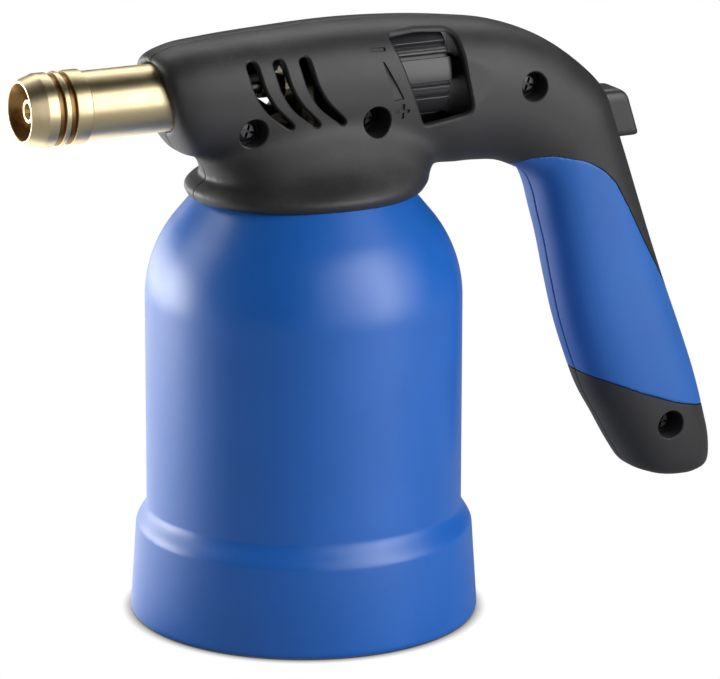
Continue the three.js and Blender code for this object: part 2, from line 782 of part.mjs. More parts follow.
function makeCore() {
  const body = turnedAlongX([
    [coreBore, coreFront],
    [coreRadius, coreFront],
    [coreRadius, coreShoulder],
    [chamberRadius - restGap, coreShoulder],
    [chamberRadius - restGap, coreBack],
    [mixerBore - restGap, coreBack],
    [mixerBore - restGap, coreBack - coreTail],
    [coreBore, coreBack - coreTail],
  ]);
  const circle = (coreRadius + chamberRadius) / 2;
  return cut(body, portCutters(turns(corePorts), circle, corePortRadius, coreShoulder, coreBack));
}

function makeMixer() {
  const tube = turnedAlongX(tubeProfile(mixerBore, mixerRadius, mixerFront, mixerBack));
  const holePlace = jetFront + airHoleSetback;
  const across = rodAcross(airHoleRadius, [-holePlace, axisHeight], -overrun, overrun);
  const upright = rod(airHoleRadius, axisHeight - overrun, axisHeight + overrun, SMALL_FACETS);
  return cut(tube, [across, upright.translate([-holePlace, 0, 0])]);
}

// Pipe: from the valve's nose into the jet
function makePipe() {
  const front = tubeBack + pipeSeat - restGap;
  const back = valveFront + valveNose - pipeSeat + restGap;
  return turnedAlongX(tubeProfile(pipeBore, pipeRadius, front, back), SMALL_FACETS);
}

// Jet: a cap on the pipe's end with a fine hole
function makeJet() {
  const [socket, seat] = [pipeRadius + restGap, tubeBack + pipeSeat];
  return turnedAlongX([
    [jetHole, jetFront],
    [jetTipRadius, jetFront],
    [jetRadius, jetFront - jetTip],
    [jetRadius, tubeBack],
    [socket, tubeBack],
    [socket, seat],
    [jetHole, seat],
  ], SMALL_FACETS);
}

function makeInsulator() {
  const profile = tubeProfile(pinRadius + restGap, insulatorRadius, insulatorFront, insulatorBack);
  return turnedAlongX(profile, SMALL_FACETS, electrodeHeight, electrodeSide);
}

function makePin() {
  const profile = rodProfile(pinRadius, coreBack - sparkGap, insulatorBack);
  return turnedAlongX(profile, SMALL_FACETS / 2, electrodeHeight, electrodeSide);
}

// Lead: out of the igniter, under the knob, up in front of it and over the valve
function makeLead() {
  const start = [piezoFront - restGap, 0, piezoHeight];
  const end = [restGap - insulatorBack, electrodeSide, electrodeHeight];
  const straight = 2 * leadRadius;
  const [leave, arrive] = [[start[0] - straight, start[1], start[2]], [end[0] + straight, end[1], end[2]]];
  const route = leadShares.map(([along, side, rise]) => {
    const behindKnob = knobFront + (along - 1) * (start[0] - knobFront);
    const x = along > 1 ? behindKnob : along * knobFront;
    return [x, side * knobRadius, axisHeight + rise * knobRadius];
  });
  return tubeAlong([start, leave, ...route, arrive, end], leadRadius, 8, 34);
}

function makePiezo() {
  const bore = plungerRadius + slideGap;
  return turnedAlongX([
    [0, -piezoFront],
    [piezoRadius, -piezoFront],
    [piezoRadius, -piezoBack],
    [bore, -piezoBack],
    [bore, -piezoFront - piezoEndWall],
    [0, -piezoFront - piezoEndWall],
  ], MEDIUM_FACETS, piezoHeight);
}

function makePlunger() {
  const profile = rodProfile(plungerRadius, -plungerFront, -buttonFront + restGap);
  return turnedAlongX(profile, SMALL_FACETS, piezoHeight);
}

// Return spring, from the igniter's end wall to the plunger
function makeSpring() {
  const clear = springWire + restGap;
  const [from, to] = [piezoFront + piezoEndWall + clear, plungerFront - clear];
  const radius = plungerRadius - springWire;
  const steps = springTurns * 8;
  const points = Array.from({ length: steps + 1 }, (_, i) => {
    const angle = (2 * Math.PI * springTurns * i) / steps;
    const along = from + ((to - from) * i) / steps;
    return [along, radius * Math.cos(angle), piezoHeight + radius * Math.sin(angle)];
  });
  return tubeAlong(points, springWire, 5, steps);
}

// Outline of the button in the side view, a little larger all round for its opening
function buttonOutline(grow) {
  const [low, high] = [piezoHeight - buttonHalfHeight - grow, piezoHeight + buttonHalfHeight + grow];
  const [topEnd, bottomEnd] = [buttonFront + buttonTop, buttonFront + buttonBottom];
  return [
    [buttonFront, low],
    [bottomEnd, low],
    [topEnd, high - buttonCorner],
    [topEnd - buttonEdge, high - buttonEdge],
    [topEnd - buttonCorner, high],
    [buttonFront, high],
  ];
}

function makeButton() {
  const half = buttonHalfWidth;
  const body = prism(buttonOutline(0), -half, half);
  const low = piezoHeight - buttonHalfHeight - earDrop;
  const high = low + earHeight;
  const ears = [
    [buttonFront + earReach, high],
    [buttonFront + earReach + earLean, low],
    [buttonFront + earReach + earLean + earThickness, low],
    [buttonFront + earReach + earThickness, high],
  ];
  return body.add(prism(ears, -half - earWidth, half + earWidth));
}

// A rounded section about a middle, reaching half its height and half its width
function sectionRing(middle, upright, halfWidth, points) {
  return turns(points).map((angle) => {
    const bulge = (value) => Math.sign(value) * Math.abs(value) ** (2 / sectionSquareness);
    const point = middle.clone().addScaledVector(upright, bulge(Math.sin(angle)));
    point.y = Math.abs(Math.cos(angle)) < weld ? 0 : halfWidth * bulge(Math.cos(angle));
    return point;
  });
}

// The barrel and handle, drawn in by wallOf(share of the way along), for a stretch of it
function makeTrunk(wallOf, from = 0, to = 1, count = SECTION_COUNT, points = SECTION_POINTS) {
  const crown = sectionShares.map(([x, z, , , width]) => [spanX(x), width * housingWidth, dropZ(z)]);
  const belly = sectionShares.map(([, , x, z]) => [spanX(x), 0, dropZ(z)]);
  const [crownCurve, bellyCurve] = [crown, belly].map(
    (line) => new THREE.CatmullRomCurve3(line.map((point) => new THREE.Vector3(...point))),
  );
  const rings = [];
  for (let i = 0; i <= count; i++) {
    const share = from + ((to - from) * i) / count;
    const [top, bottom] = [crownCurve.getPoint(share), bellyCurve.getPoint(share)];
    const halfWidth = top.y - wallOf(share);
    top.y = 0;
    const middle = top.clone().add(bottom).multiplyScalar(1 / 2);
    const upright = top.clone().sub(middle);
    upright.setLength(upright.length() - wallOf(share));
    rings.push(sectionRing(middle, upright, halfWidth, points));
  }
  return loft(rings);
}

// The neck and its collar, drawn in by a wall and run out below by a length
function makeNeck(wall, below, points = SECTION_POINTS) {
  const rings = neckShares.map(([rise, front, back, side]) => {
    const [low, high] = [-front * collarRadius + wall, back * collarRadius - wall];
    const middle = new THREE.Vector3((low + high) / 2, 0, collarHeight + rise * collarRise);
    return turns(points).map((angle) => {
      const x = ((high - low) / 2) * Math.sin(angle);
      const y = Math.abs(Math.cos(angle)) < weld ? 0 : (side * collarRadius - wall) * Math.cos(angle);
      return new THREE.Vector3(middle.x + x, y, middle.z);
    });
  });
  if (below > 0) {
    rings.unshift(rings[0].map((point) => point.clone().setZ(point.z - below)));
  }
  return loft(rings);
}

// Space for the dome under the collar
function makeDomeSpace() {
  const face = bellFace(-restGap).filter(([radius]) => radius <= bellRadius + restGap);
  const [, base] = face[0];
  return turned([[0, base], ...face, [0, face.at(-1)[1]]]);
}

function cavityWall(share) {
  const into = THREE.MathUtils.clamp((share - handleStartShare) / handleRunShare, 0, 1);
  return housingWall + (gripThickness + restGap) * into;
}

// Screws: place in the side view and how deep the head seats
const screws = [
  { place: [-frontScrewReach, bossHeight], seat: seatOf(barrelSeatShare) },
  { place: [middleScrewX, bossHeight], seat: seatOf(middleSeatShare) },
  { place: sidePoint(rearScrewShare), seat: seatOf(barrelSeatShare) },
  { place: sidePoint(handleScrewShare), seat: seatOf(handleSeatShare) },
];

function ventCutter(index) {
  const places = slotShares.map(([x, z]) => sidePoint([x + slotPitchShare * index, z]));
  const line = new THREE.SplineCurve(places.map(([x, z]) => new THREE.Vector2(x, z)));
  const steps = 6;
  const sides = [[], []];
  for (let i = 0; i <= steps; i++) {
    const at = line.getPoint(i / steps);
    const along = line.getTangent(i / steps);
    const half = THREE.MathUtils.lerp(slotWidthTop, slotWidthBottom, (i / steps) ** 3) / 2;
    sides[0].push([at.x - along.y * half, at.y + along.x * half]);
    sides[1].unshift([at.x + along.y * half, at.y - along.x * half]);
  }
  const nose = (at, along, half) => [at.x + along.x * half, at.y + along.y * half];
  const end = nose(line.getPoint(1), line.getTangent(1), slotWidthBottom / 2);
  const start = nose(line.getPoint(0), line.getTangent(0), -slotWidthTop / 2);
  return [...sides[0], end, ...sides[1], start];
}

// The same opening through both side walls only
function throughWalls(outline) {
  const inner = tubeRadius;
  const outer = housingWidth / 2 + overrun;
  return [prism(outline, -outer, -inner), prism(outline, inner, outer)];
}

// What both halves carry inside: floor, ribs and bearings, each run into the walls
function makeFittings() {
  const side = housingWidth / 2;
  const rib = (fromX, low, high) => box([fromX, -side, low], [fromX + ribThickness, side, high]);
  const bottom = collarHeight;
  const floor = box([-collarRadius, -side, floorBase], [middleScrewX + bossCoreRadius, side, floorTop]);
  const frontRib = rib(-tubeBack - frontRibGap - ribThickness, floorBase, crownHeight);
  const bearing = rib(bearingFront, axisHeight - knobRadius, crownHeight);
  const piezoRibs = [piezoFront + piezoRibInset, piezoBack - piezoRibInset - ribThickness].map((x) =>
    rib(x, bottom - overrun, piezoHeight + piezoRadius + piezoRibRise));
  return cut(join([floor, frontRib, bearing, ...piezoRibs]), [
    rod(stemRadius + restGap, floorBase - overrun, floorTop + restGap),
    turnedAlongX(rodProfile(tubeRadius + restGap, burnerReach, tubeBack)),
    turnedAlongX(rodProfile(knobStubRadius + slideGap, -knobBack, -bearingFront - overrun)),
    turnedAlongX(rodProfile(piezoRadius + restGap, -piezoFront, -piezoBack), MEDIUM_FACETS, piezoHeight),
  ]);
}

const trunk = makeTrunk(() => 0);
const neck = makeNeck(0, 0);
const skin = trunk.add(neck);
const cavity = makeTrunk(cavityWall, cavityStartShare, cavityEndShare, CAVITY_COUNT, CAVITY_POINTS)
  .add(makeNeck(housingWall, overrun, CAVITY_POINTS));
// What fittings may fill: a little into the walls
const bite = makeTrunk(() => fuse, 0, 1, CAVITY_COUNT, CAVITY_POINTS).add(makeNeck(fuse, 0, CAVITY_POINTS));
const gripRegion = prism(sidePoints(gripShares), -housingWidth, housingWidth);

// Grips: the outer skin of the handle over the grip's outline
function makeGrips() {
  return trunk.intersect(gripRegion).subtract(makeTrunk(() => gripThickness, 0, 1));
}

// The recess goes a gap deeper and wider than the grip
function makeGripRecess() {
  const middle = sidePoints(gripShares).reduce(([a, b], [x, z]) => [a + x, b + z], [0, 0]);
  const count = gripShares.length;
  const centre = new THREE.Vector2(middle[0] / count, middle[1] / count);
  const wider = sidePoints(gripShares).map(([x, z]) => {
    const away = new THREE.Vector2(x, z).sub(centre);
    return centre.clone().add(away.setLength(away.length() + 2 * restGap)).toArray();
  });
  const region = prism(wider, -housingWidth, housingWidth);
  return region.subtract(makeTrunk(() => gripThickness + restGap, 0, 1));
}

// The space on one side of the seam
function sideSpace(sign) {
  const side = housingWidth + overrun;
  const far = housingSpan + noseReach;
  return box([-far, Math.min(0, sign * side), -overrun], [far, Math.max(0, sign * side), far]);
}

function makeHousing(sign) {
  const bosses = screws.map(({ place, seat }) => {
    const post = rodAcross(bossCoreRadius, place, -housingWidth / 2, housingWidth / 2);
    const cup = rodAcross(screwHoleRadius + bossWall, place, -housingWidth / 2, bossFloor - seat);
    return sign < 0 ? post.add(cup) : post;
  });
  const filled = join([makeFittings(), ...bosses]).intersect(bite);
  const knobSpace = turnedAlongX(
    rodProfile(knobRadius + slideGap, -knobFront + slideGap, -knobBack - slideGap), LARGE_FACETS,
  );
  const window = windowShares.map(([x, z]) => [knobFront + knobLength * x, axisHeight + knobRadius * z]);
  const halfWidth = buttonHalfWidth + slideGap;
  const buttonSpace = prism(buttonOutline(slideGap), -halfWidth, halfWidth);
  const holes = screws.flatMap(({ place, seat }) => {
    const shank = rodAcross(screwShankRadius + restGap, place, -housingWidth, screwReach + restGap);
    const head = rodAcross(screwHoleRadius, place, -housingWidth, -seat);
    return [shank, head];
  });
  const nose = turnedAlongX(rodProfile(tubeRadius + restGap, burnerReach, tubeBack));
  const vents = Array.from({ length: slotCount }, (_, i) => ventCutter(i));
  const shell = cut(skin.subtract(cavity).add(filled), [
    makeDomeSpace(), nose, knobSpace, buttonSpace, makeGripRecess(),
    ...throughWalls(window), ...vents.flatMap(throughWalls),
  ]);
  return cut(shell.intersect(sideSpace(sign)), sign < 0 ? holes : holes.filter((_, i) => i % 2 === 0));
}

function makeScrew({ place, seat }) {
  const top = -seat - screwHeadHeight - restGap;
  const head = rodAcross(screwHeadRadius, place, top, -seat - restGap, SMALL_FACETS);
  const shank = rodAcross(screwShankRadius, place, -seat - fuse, screwReach, SMALL_FACETS / 2);
  const [x, z] = place;
  const slot = (reachX, reachZ) =>
    box([x - reachX, top - overrun, z - reachZ], [x + reachX, top + screwCrossDepth, z + reachZ]);
  return cut(head.add(shank), [slot(screwCrossReach, screwCross / 2), slot(screwCross / 2, screwCrossReach)]);
}

addPiece("holder_bell", makeBell(), bluePaint);
addPiece("neck_ring", makeNeckRing(), steel);
turns(tabCount, lugSpan / 2).forEach((angle, i) => addPiece(`bayonet_tab_${i + 1}`, makeTab(angle), steel));
addPiece("gas_cartridge", makeCartridge(), canPaint);
addPiece("base_foot", makeFoot(), blackPlastic);

addPiece("valve_body", makeValve(), brass);
addPiece("piercing_needle", makeNeedle(), steel);
addPiece("cartridge_seal", makeSeal(), blackRubber);
addPiece("spindle_ring", makeSpindleRing(), blackRubber);
addPiece("gland_nut", makeGland(), brass);
addPiece("valve_spindle", makeSpindle(), brass);
addPiece("gas_pipe", makePipe(), brass);
addPiece("gas_jet", makeJet(), brass);
addPiece("mixer_tube", makeMixer(), brass);
addPiece("burner_tube", makeBurnerTube(), brass);
addPiece("burner_plug", makePlug(), brass);
addPiece("burner_head", makeBurnerHead(), brass);
addPiece("flame_core", makeCore(), brass);

addPiece("electrode_insulator", makeInsulator(), ceramic);
addPiece("electrode_pin", makePin(), steel);
addPiece("ignition_lead", makeLead(), blackRubber);
addPiece("piezo_body", makePiezo(), blackPlastic);
addPiece("piezo_plunger", makePlunger(), steel);
addPiece("piezo_spring", makeSpring(), steel);
addPiece("ignition_button", makeButton(), blackPlastic);
addPiece("control_knob", makeKnob(), blackPlastic);

const grips = makeGrips();
for (const [name, sign] of [["left", -1], ["right", 1]]) {
  addPiece(`${name}_housing`, makeHousing(sign), blackPlastic);
  addPiece(`${name}_grip`, grips.intersect(sideSpace(sign)), blueRubber);
}
screws.forEach((screw, i) => addPiece(`housing_screw_${i + 1}`, makeScrew(screw), steel));

export default group;
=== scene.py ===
# %% [markdown]
# # A gas torch that stands on its own canister
#
# This lesson dresses a finished CAD model of a blow torch. Its pierced gas can stands in a
# blue steel holder, a black two-part housing carries the burner and the valve, and the
# handle has soft blue grips. The CAD model fixes every size and place. What is made here
# is the skin that a camera sees: rounded edges, soft transitions, paint, plastic, rubber
# and turned brass. Lengths are written in millimetres and turned into metres in one place.

# %% The frame and its box
import math

import bmesh
import bpy
import numpy as np
from mathutils import Matrix, Vector
from mathutils.bvhtree import BVHTree


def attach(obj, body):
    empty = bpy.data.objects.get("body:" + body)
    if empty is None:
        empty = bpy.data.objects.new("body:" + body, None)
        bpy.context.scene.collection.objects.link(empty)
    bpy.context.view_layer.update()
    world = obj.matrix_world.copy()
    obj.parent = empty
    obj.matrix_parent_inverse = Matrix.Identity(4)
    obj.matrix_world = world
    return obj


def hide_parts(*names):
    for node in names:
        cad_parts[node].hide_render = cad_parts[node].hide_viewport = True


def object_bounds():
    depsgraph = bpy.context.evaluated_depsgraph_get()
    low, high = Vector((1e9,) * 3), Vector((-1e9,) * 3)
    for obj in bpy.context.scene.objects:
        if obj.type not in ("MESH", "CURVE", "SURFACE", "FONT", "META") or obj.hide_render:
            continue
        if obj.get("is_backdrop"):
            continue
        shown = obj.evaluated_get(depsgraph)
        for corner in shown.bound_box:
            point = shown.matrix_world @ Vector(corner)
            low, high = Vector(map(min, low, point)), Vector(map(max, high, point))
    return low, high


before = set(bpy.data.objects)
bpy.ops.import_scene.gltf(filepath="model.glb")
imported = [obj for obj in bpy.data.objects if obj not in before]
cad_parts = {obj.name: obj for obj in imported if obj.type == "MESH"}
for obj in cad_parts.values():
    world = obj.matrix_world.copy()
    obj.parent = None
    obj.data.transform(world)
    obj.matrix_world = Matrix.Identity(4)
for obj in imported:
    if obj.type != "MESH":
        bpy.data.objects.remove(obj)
cad_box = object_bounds()
MM = 0.001

# %% [markdown]
# ## Small helpers
#
# Most pieces start as a list of rings: a row of points that is repeated along a piece.
# Two neighbouring rings are joined by four-sided faces, and the ends are closed. The helper
# merges points that fall together, which turns the rings on an axis into clean poles, and
# lets bmesh turn all faces outwards. Modifiers are baked by asking Blender for the
# evaluated mesh, so that a finished piece is plain geometry.

# %% Meshes from rings
WELD = 1e-7


def tidy_mesh(mesh):
    """Merges doubles, drops collapsed faces and turns the rest outwards."""
    shape = bmesh.new()
    shape.from_mesh(mesh)
    bmesh.ops.remove_doubles(shape, verts=shape.verts, dist=WELD)
    bmesh.ops.dissolve_degenerate(shape, edges=shape.edges, dist=WELD)
    bmesh.ops.recalc_face_normals(shape, faces=shape.faces)
    shape.to_mesh(mesh)
    shape.free()


def mesh_object(name, points, faces):
    """An object from points in millimetres."""
    mesh = bpy.data.meshes.new(name)
    mesh.from_pydata((np.asarray(points, float) * MM).tolist(), [], faces)
    tidy_mesh(mesh)
    made = bpy.data.objects.new(name, mesh)
    bpy.context.scene.collection.objects.link(made)
    return made


def through_rings(name, rings, closed=False):
    """A closed skin through rings of equal length. A closed row of rings has no ends."""
    count, size = len(rings), len(rings[0])
    points = np.asarray(rings, float).reshape(-1, 3)
    faces = []
    for here in range(count if closed else count - 1):
        there = (here + 1) % count
        for i in range(size):
            j = (i + 1) % size
            faces.append((here * size + i, here * size + j, there * size + j, there * size + i))
    if not closed:
        faces += [tuple(range(size)), tuple(range((count - 1) * size, count * size))]
    return mesh_object(name, points, faces)


def bake(piece):
    """Replaces a piece's mesh by what its modifiers make of it."""
    graph = bpy.context.evaluated_depsgraph_get()
    mesh = bpy.data.meshes.new_from_object(piece.evaluated_get(graph))
    piece.modifiers.clear()
    piece.data = mesh
    return piece


def triangles(piece):
    return sum(len(face.vertices) - 2 for face in piece.data.polygons)


# %% [markdown]
# ## Cutting and joining
#
# A Boolean modifier cuts one closed mesh with another. Its Manifold solver is fast and
# keeps the result watertight, which matters here: the housing's skin and its two halves are
# cut or joined more than forty times.
# Each cutter is thrown away as soon as it has done its work.

# %% Boolean steps
def carve(piece, tools, operation="DIFFERENCE"):
    for tool in tools:
        step = piece.modifiers.new("carve", "BOOLEAN")
        step.operation = operation
        step.solver = "MANIFOLD"
        step.object = tool
        bake(piece)
        bpy.data.objects.remove(tool)
    return piece


def copy_of(piece, name):
    twin = bpy.data.objects.new(name, piece.data.copy())
    bpy.context.scene.collection.objects.link(twin)
    return twin


# %% [markdown]
# ## Turned pieces
#
# A real turned or pressed round part never has a knife-sharp edge. Each corner of a profile
# is therefore written with a small fillet, and the helper swaps the corner for a short arc
# before it turns the profile. Those few extra rings are what catches the light. The prisms,
# rods and blocks that cut the pieces need no fillets, and they are made here too.

# %% Profiles with fillets, turned about an upright axis or about the burner's
ARC_STEPS = 4
FINE_TURN, ROD_TURN, HOLE_TURN = 128, 64, 48
# The most of an edge that the arc at one of its ends takes up
EDGE_SHARE = 0.45


def circle(count):
    """The angles of equal steps round a circle."""
    return np.arange(count) * math.tau / count


def bend(start, corner, end, steps):
    """Points of an arc from one place to another, drawn towards a corner."""
    return [
        start * (1 - t) ** 2 + corner * 2 * t * (1 - t) + end * t * t
        for t in np.arange(steps + 1) / steps
    ]


def corner_arc(before, corner, after, fillet, steps):
    """The arc that takes the place of a corner between two others."""
    corner = Vector(corner)
    back, ahead = Vector(before) - corner, Vector(after) - corner
    room = EDGE_SHARE * min(back.length, ahead.length)
    reach = min(fillet / math.tan(back.angle(ahead) / 2), room)
    start, end = corner + back.normalized() * reach, corner + ahead.normalized() * reach
    return bend(start, corner, end, steps)


def soften(profile, closed):
    """Swaps each corner [across, along, fillet] for an arc of points [across, along]."""
    corners = [Vector(row[:2]) for row in profile]
    out = []
    for i, (*_, fillet) in enumerate(profile):
        at_end = not closed and i in (0, len(profile) - 1)
        if fillet == 0 or at_end:
            out.append(tuple(corners[i]))
        else:
            after = corners[(i + 1) % len(corners)]
            arc = corner_arc(corners[i - 1], corners[i], after, fillet, ARC_STEPS)
            out += [tuple(point) for point in arc]
    return out


def turned(name, profile, turn, place):
    """Turns a profile [radius, along, fillet]. One with both ends on the axis gets two poles."""
    closed = profile[0][0] != 0 or profile[-1][0] != 0
    rings = [
        [place(radius * np.cos(a), radius * np.sin(a), along) for a in circle(turn)]
        for radius, along in soften(profile, closed)
    ]
    return through_rings(name, rings, closed)


def turned_up(name, profile, turn=FINE_TURN):
    """Turns a profile about the canister's axis."""
    return turned(name, profile, turn, lambda across, other, along: (across, other, along))


def turned_along(name, profile, height, turn=FINE_TURN):
    """Turns a profile about an axis along X."""
    return turned(name, profile, turn, lambda across, other, along: (along, across, height + other))


def rod_along(name, radius, start, end, height, turn=ROD_TURN):
    profile = [(0, start, 0), (radius, start, 0), (radius, end, 0), (0, end, 0)]
    return turned_along(name, profile, height, turn)


def prism(name, outline, start, end):
    """A prism of an outline of [x, z], between two values of y."""
    return through_rings(name, [[(x, y, z) for x, z in outline] for y in (start, end)])


def circle_outline(place, radius, count=HOLE_TURN):
    x, z = place
    return [Vector((x + radius * np.cos(a), z + radius * np.sin(a))) for a in circle(count)]


def rod_across(name, radius, place, start, end, turn=ROD_TURN):
    """A rod along Y through [x, z], from one y to another."""
    return prism(name, circle_outline(place, radius, turn), start, end)


def block(name, low, high):
    (x0, y0, z0), (x1, y1, z1) = low, high
    rings = [[(x0, y0, z), (x1, y0, z), (x1, y1, z), (x0, y1, z)] for z in (z0, z1)]
    return through_rings(name, rings)


# %% [markdown]
# ## Shared surface effects
#
# Three effects come back on several finishes, so each is a node group with named inputs:
# a fine grain with a slow drift of tone, a coat of dust on what faces up, and the marks
# that a lathe leaves. A group gives out only values and colours. The shader itself stays in
# each material, so that the exporter can read it.

# %% Node group helpers
FLOAT, COLOR, VECTOR = "NodeSocketFloat", "NodeSocketColor", "NodeSocketVector"
WHITE = (1.0, 1.0, 1.0, 1.0)


def new_group(name, inputs, outputs):
    tree = bpy.data.node_groups.new(name, "ShaderNodeTree")
    for label, kind, value in inputs:
        socket = tree.interface.new_socket(label, in_out="INPUT", socket_type=kind)
        socket.default_value = value
    for label, kind in outputs:
        tree.interface.new_socket(label, in_out="OUTPUT", socket_type=kind)
    start, end = tree.nodes.new("NodeGroupInput"), tree.nodes.new("NodeGroupOutput")
    return tree, start.outputs, end.inputs


def fill_sockets(tree, sockets, values):
    """Links or sets inputs by their label, or by i and their place, such as i0."""
    for key, value in values.items():
        by_place = key[0] == "i" and key[1:].isdigit()
        socket = sockets[int(key[1:]) if by_place else key.replace("_", " ")]
        if isinstance(value, bpy.types.NodeSocket):
            tree.links.new(value, socket)
        else:
            socket.default_value = value


def node(tree, kind, settings=None, **inputs):
    """Adds a node with its settings and its inputs."""
    made = tree.nodes.new(kind)
    for key, value in (settings or {}).items():
        setattr(made, key, value)
    fill_sockets(tree, made.inputs, inputs)
    return made


def math_node(tree, operation, first, second=0.5):
    settings = {"operation": operation}
    return node(tree, "ShaderNodeMath", settings, i0=first, i1=second).outputs[0]


def plus(tree, first, second):
    return math_node(tree, "ADD", first, second)


def minus(tree, first, second):
    return math_node(tree, "SUBTRACT", first, second)


def times(tree, first, second):
    return math_node(tree, "MULTIPLY", first, second)


def vector_node(tree, operation, first, second=(0, 0, 0)):
    settings = {"operation": operation}
    return node(tree, "ShaderNodeVectorMath", settings, i0=first, i1=second).outputs


def remap(tree, value, low, high, to_low=0.0, to_high=1.0):
    settings, bounds = {"clamp": True}, {"From_Min": low, "From_Max": high}
    inputs = {"Value": value, **bounds, "To_Min": to_low, "To_Max": to_high}
    return node(tree, "ShaderNodeMapRange", settings, **inputs).outputs[0]


def noise(tree, place, scale, detail):
    return node(tree, "ShaderNodeTexNoise", Vector=place, Scale=scale, Detail=detail).outputs[0]


def mix_colors(tree, share, first, second):
    settings = {"data_type": "RGBA"}
    return node(tree, "ShaderNodeMix", settings, Factor=share, i6=first, i7=second).outputs[2]


def give(tree, sockets, *values):
    """Links values to sockets in their order."""
    for socket, value in zip(sockets, values):
        tree.links.new(value, socket)
    return tree


# %% Grain and drift, dust, lathe marks
FINISH_OUTPUTS = [("Color", COLOR), ("Roughness", FLOAT), ("Height", FLOAT)]


def make_grain():
    inputs = [
        ("Color", COLOR, WHITE), ("Grain per metre", FLOAT, 2500.0), ("Drift", FLOAT, 0.06),
        ("Roughness", FLOAT, 0.5), ("Rough drift", FLOAT, 0.08),
    ]
    tree, given, out = new_group("grain_and_drift", inputs, FINISH_OUTPUTS)
    place = node(tree, "ShaderNodeTexCoord").outputs["Object"]
    fine, slow = noise(tree, place, given[1], 2.0), noise(tree, place, 38.0, 4.0)
    both = plus(tree, slow, times(tree, noise(tree, place, 700.0, 1.0), 0.35))
    low, high = minus(tree, 1.0, given[2]), plus(tree, 1.0, given[2])
    tone = remap(tree, both, 0.4, 0.95, low, high)
    scale = {"operation": "SCALE"}
    color = node(tree, "ShaderNodeVectorMath", scale, i0=given[0], Scale=tone).outputs[0]
    change = times(tree, minus(tree, both, 0.67), given[4])
    return give(tree, out, color, plus(tree, given[3], times(tree, change, 2.0)), fine)


def make_dust():
    inputs = [("Amount", FLOAT, 0.1), ("Height", FLOAT, 0.5)]
    tree, given, out = new_group("settled_dust", inputs, [("Mask", FLOAT), ("Height", FLOAT)])
    place = node(tree, "ShaderNodeTexCoord").outputs
    up = node(tree, "ShaderNodeSeparateXYZ", Vector=place["Normal"]).outputs["Z"]
    cloud = noise(tree, place["Object"], 55.0, 6.0)
    motes = noise(tree, place["Object"], 900.0, 2.0)
    patch = times(tree, remap(tree, cloud, 0.42, 0.7), remap(tree, up, 0.1, 1.0))
    mask = times(tree, times(tree, patch, motes), given[0])
    return give(tree, out, mask, plus(tree, given[1], times(tree, mask, 0.5)))


def make_lathe_marks():
    inputs = [
        ("Color", COLOR, WHITE), ("Dull color", COLOR, WHITE), ("Marks per metre", FLOAT, 4000.0),
        ("Roughness", FLOAT, 0.25), ("Dulling", FLOAT, 0.3),
    ]
    tree, given, out = new_group("lathe_marks", inputs, FINISH_OUTPUTS)
    place = node(tree, "ShaderNodeTexCoord").outputs["Object"]
    along = node(tree, "ShaderNodeMapping", Vector=place, Scale=(1.0, 0.012, 0.012)).outputs[0]
    marks, bands = noise(tree, along, given[2], 3.0), noise(tree, along, 420.0, 2.0)
    dull = times(tree, remap(tree, noise(tree, place, 160.0, 5.0), 0.45, 0.75), given[4])
    color = mix_colors(tree, dull, given[0], given[1])
    ripple = times(tree, minus(tree, bands, 0.5), 0.16)
    rough = plus(tree, given[3], plus(tree, ripple, times(tree, dull, 0.2)))
    return give(tree, out, color, rough, marks)


grain_group, dust_group, lathe_group = make_grain(), make_dust(), make_lathe_marks()
print("node groups:", [tree.name for tree in (grain_group, dust_group, lathe_group)])

# %% [markdown]
# ## Finishes
#
# Paint, moulded plastic and rubber differ mostly in how rough and how grainy they are, so
# one recipe makes them all. It mixes a base tone with slow drift, adds a little dust, and
# turns the grain into a normal through a Bump node. Metal is made apart, from lathe marks.

# %% The recipe for paint, plastic and rubber
DUST = (0.55, 0.54, 0.52, 1.0)


def start_material(name):
    material = bpy.data.materials.new(name)
    material.use_nodes = True
    tree = material.node_tree
    return material, tree, tree.nodes["Principled BSDF"]


def use_group(tree, group, **inputs):
    made = tree.nodes.new("ShaderNodeGroup")
    made.node_tree = group
    fill_sockets(tree, made.inputs, inputs)
    return made.outputs


def link_finish(tree, shader, color, rough, height, strength, distance):
    bump = node(tree, "ShaderNodeBump", Height=height, Strength=strength, Distance=distance)
    sockets = (shader.inputs[label] for label in ("Base Color", "Roughness", "Normal"))
    give(tree, sockets, color, rough, bump.outputs[0])


def moulded(name, color, rough, grain, bump, drift=0.06, dust=0.1, distance=0.00012, specular=0.5):
    """A non-metal finish: a grain size in grains per metre and how deep it looks."""
    material, tree, shader = start_material(name)
    tone = use_group(
        tree, grain_group, Color=(*color, 1.0), Grain_per_metre=grain, Drift=drift, Roughness=rough,
    )
    settled = use_group(tree, dust_group, Amount=dust, Height=tone["Height"])
    mixed = mix_colors(tree, settled["Mask"], tone["Color"], DUST)
    link_finish(tree, shader, mixed, tone["Roughness"], settled["Height"], bump, distance)
    shader.inputs["Specular IOR Level"].default_value = specular
    return material


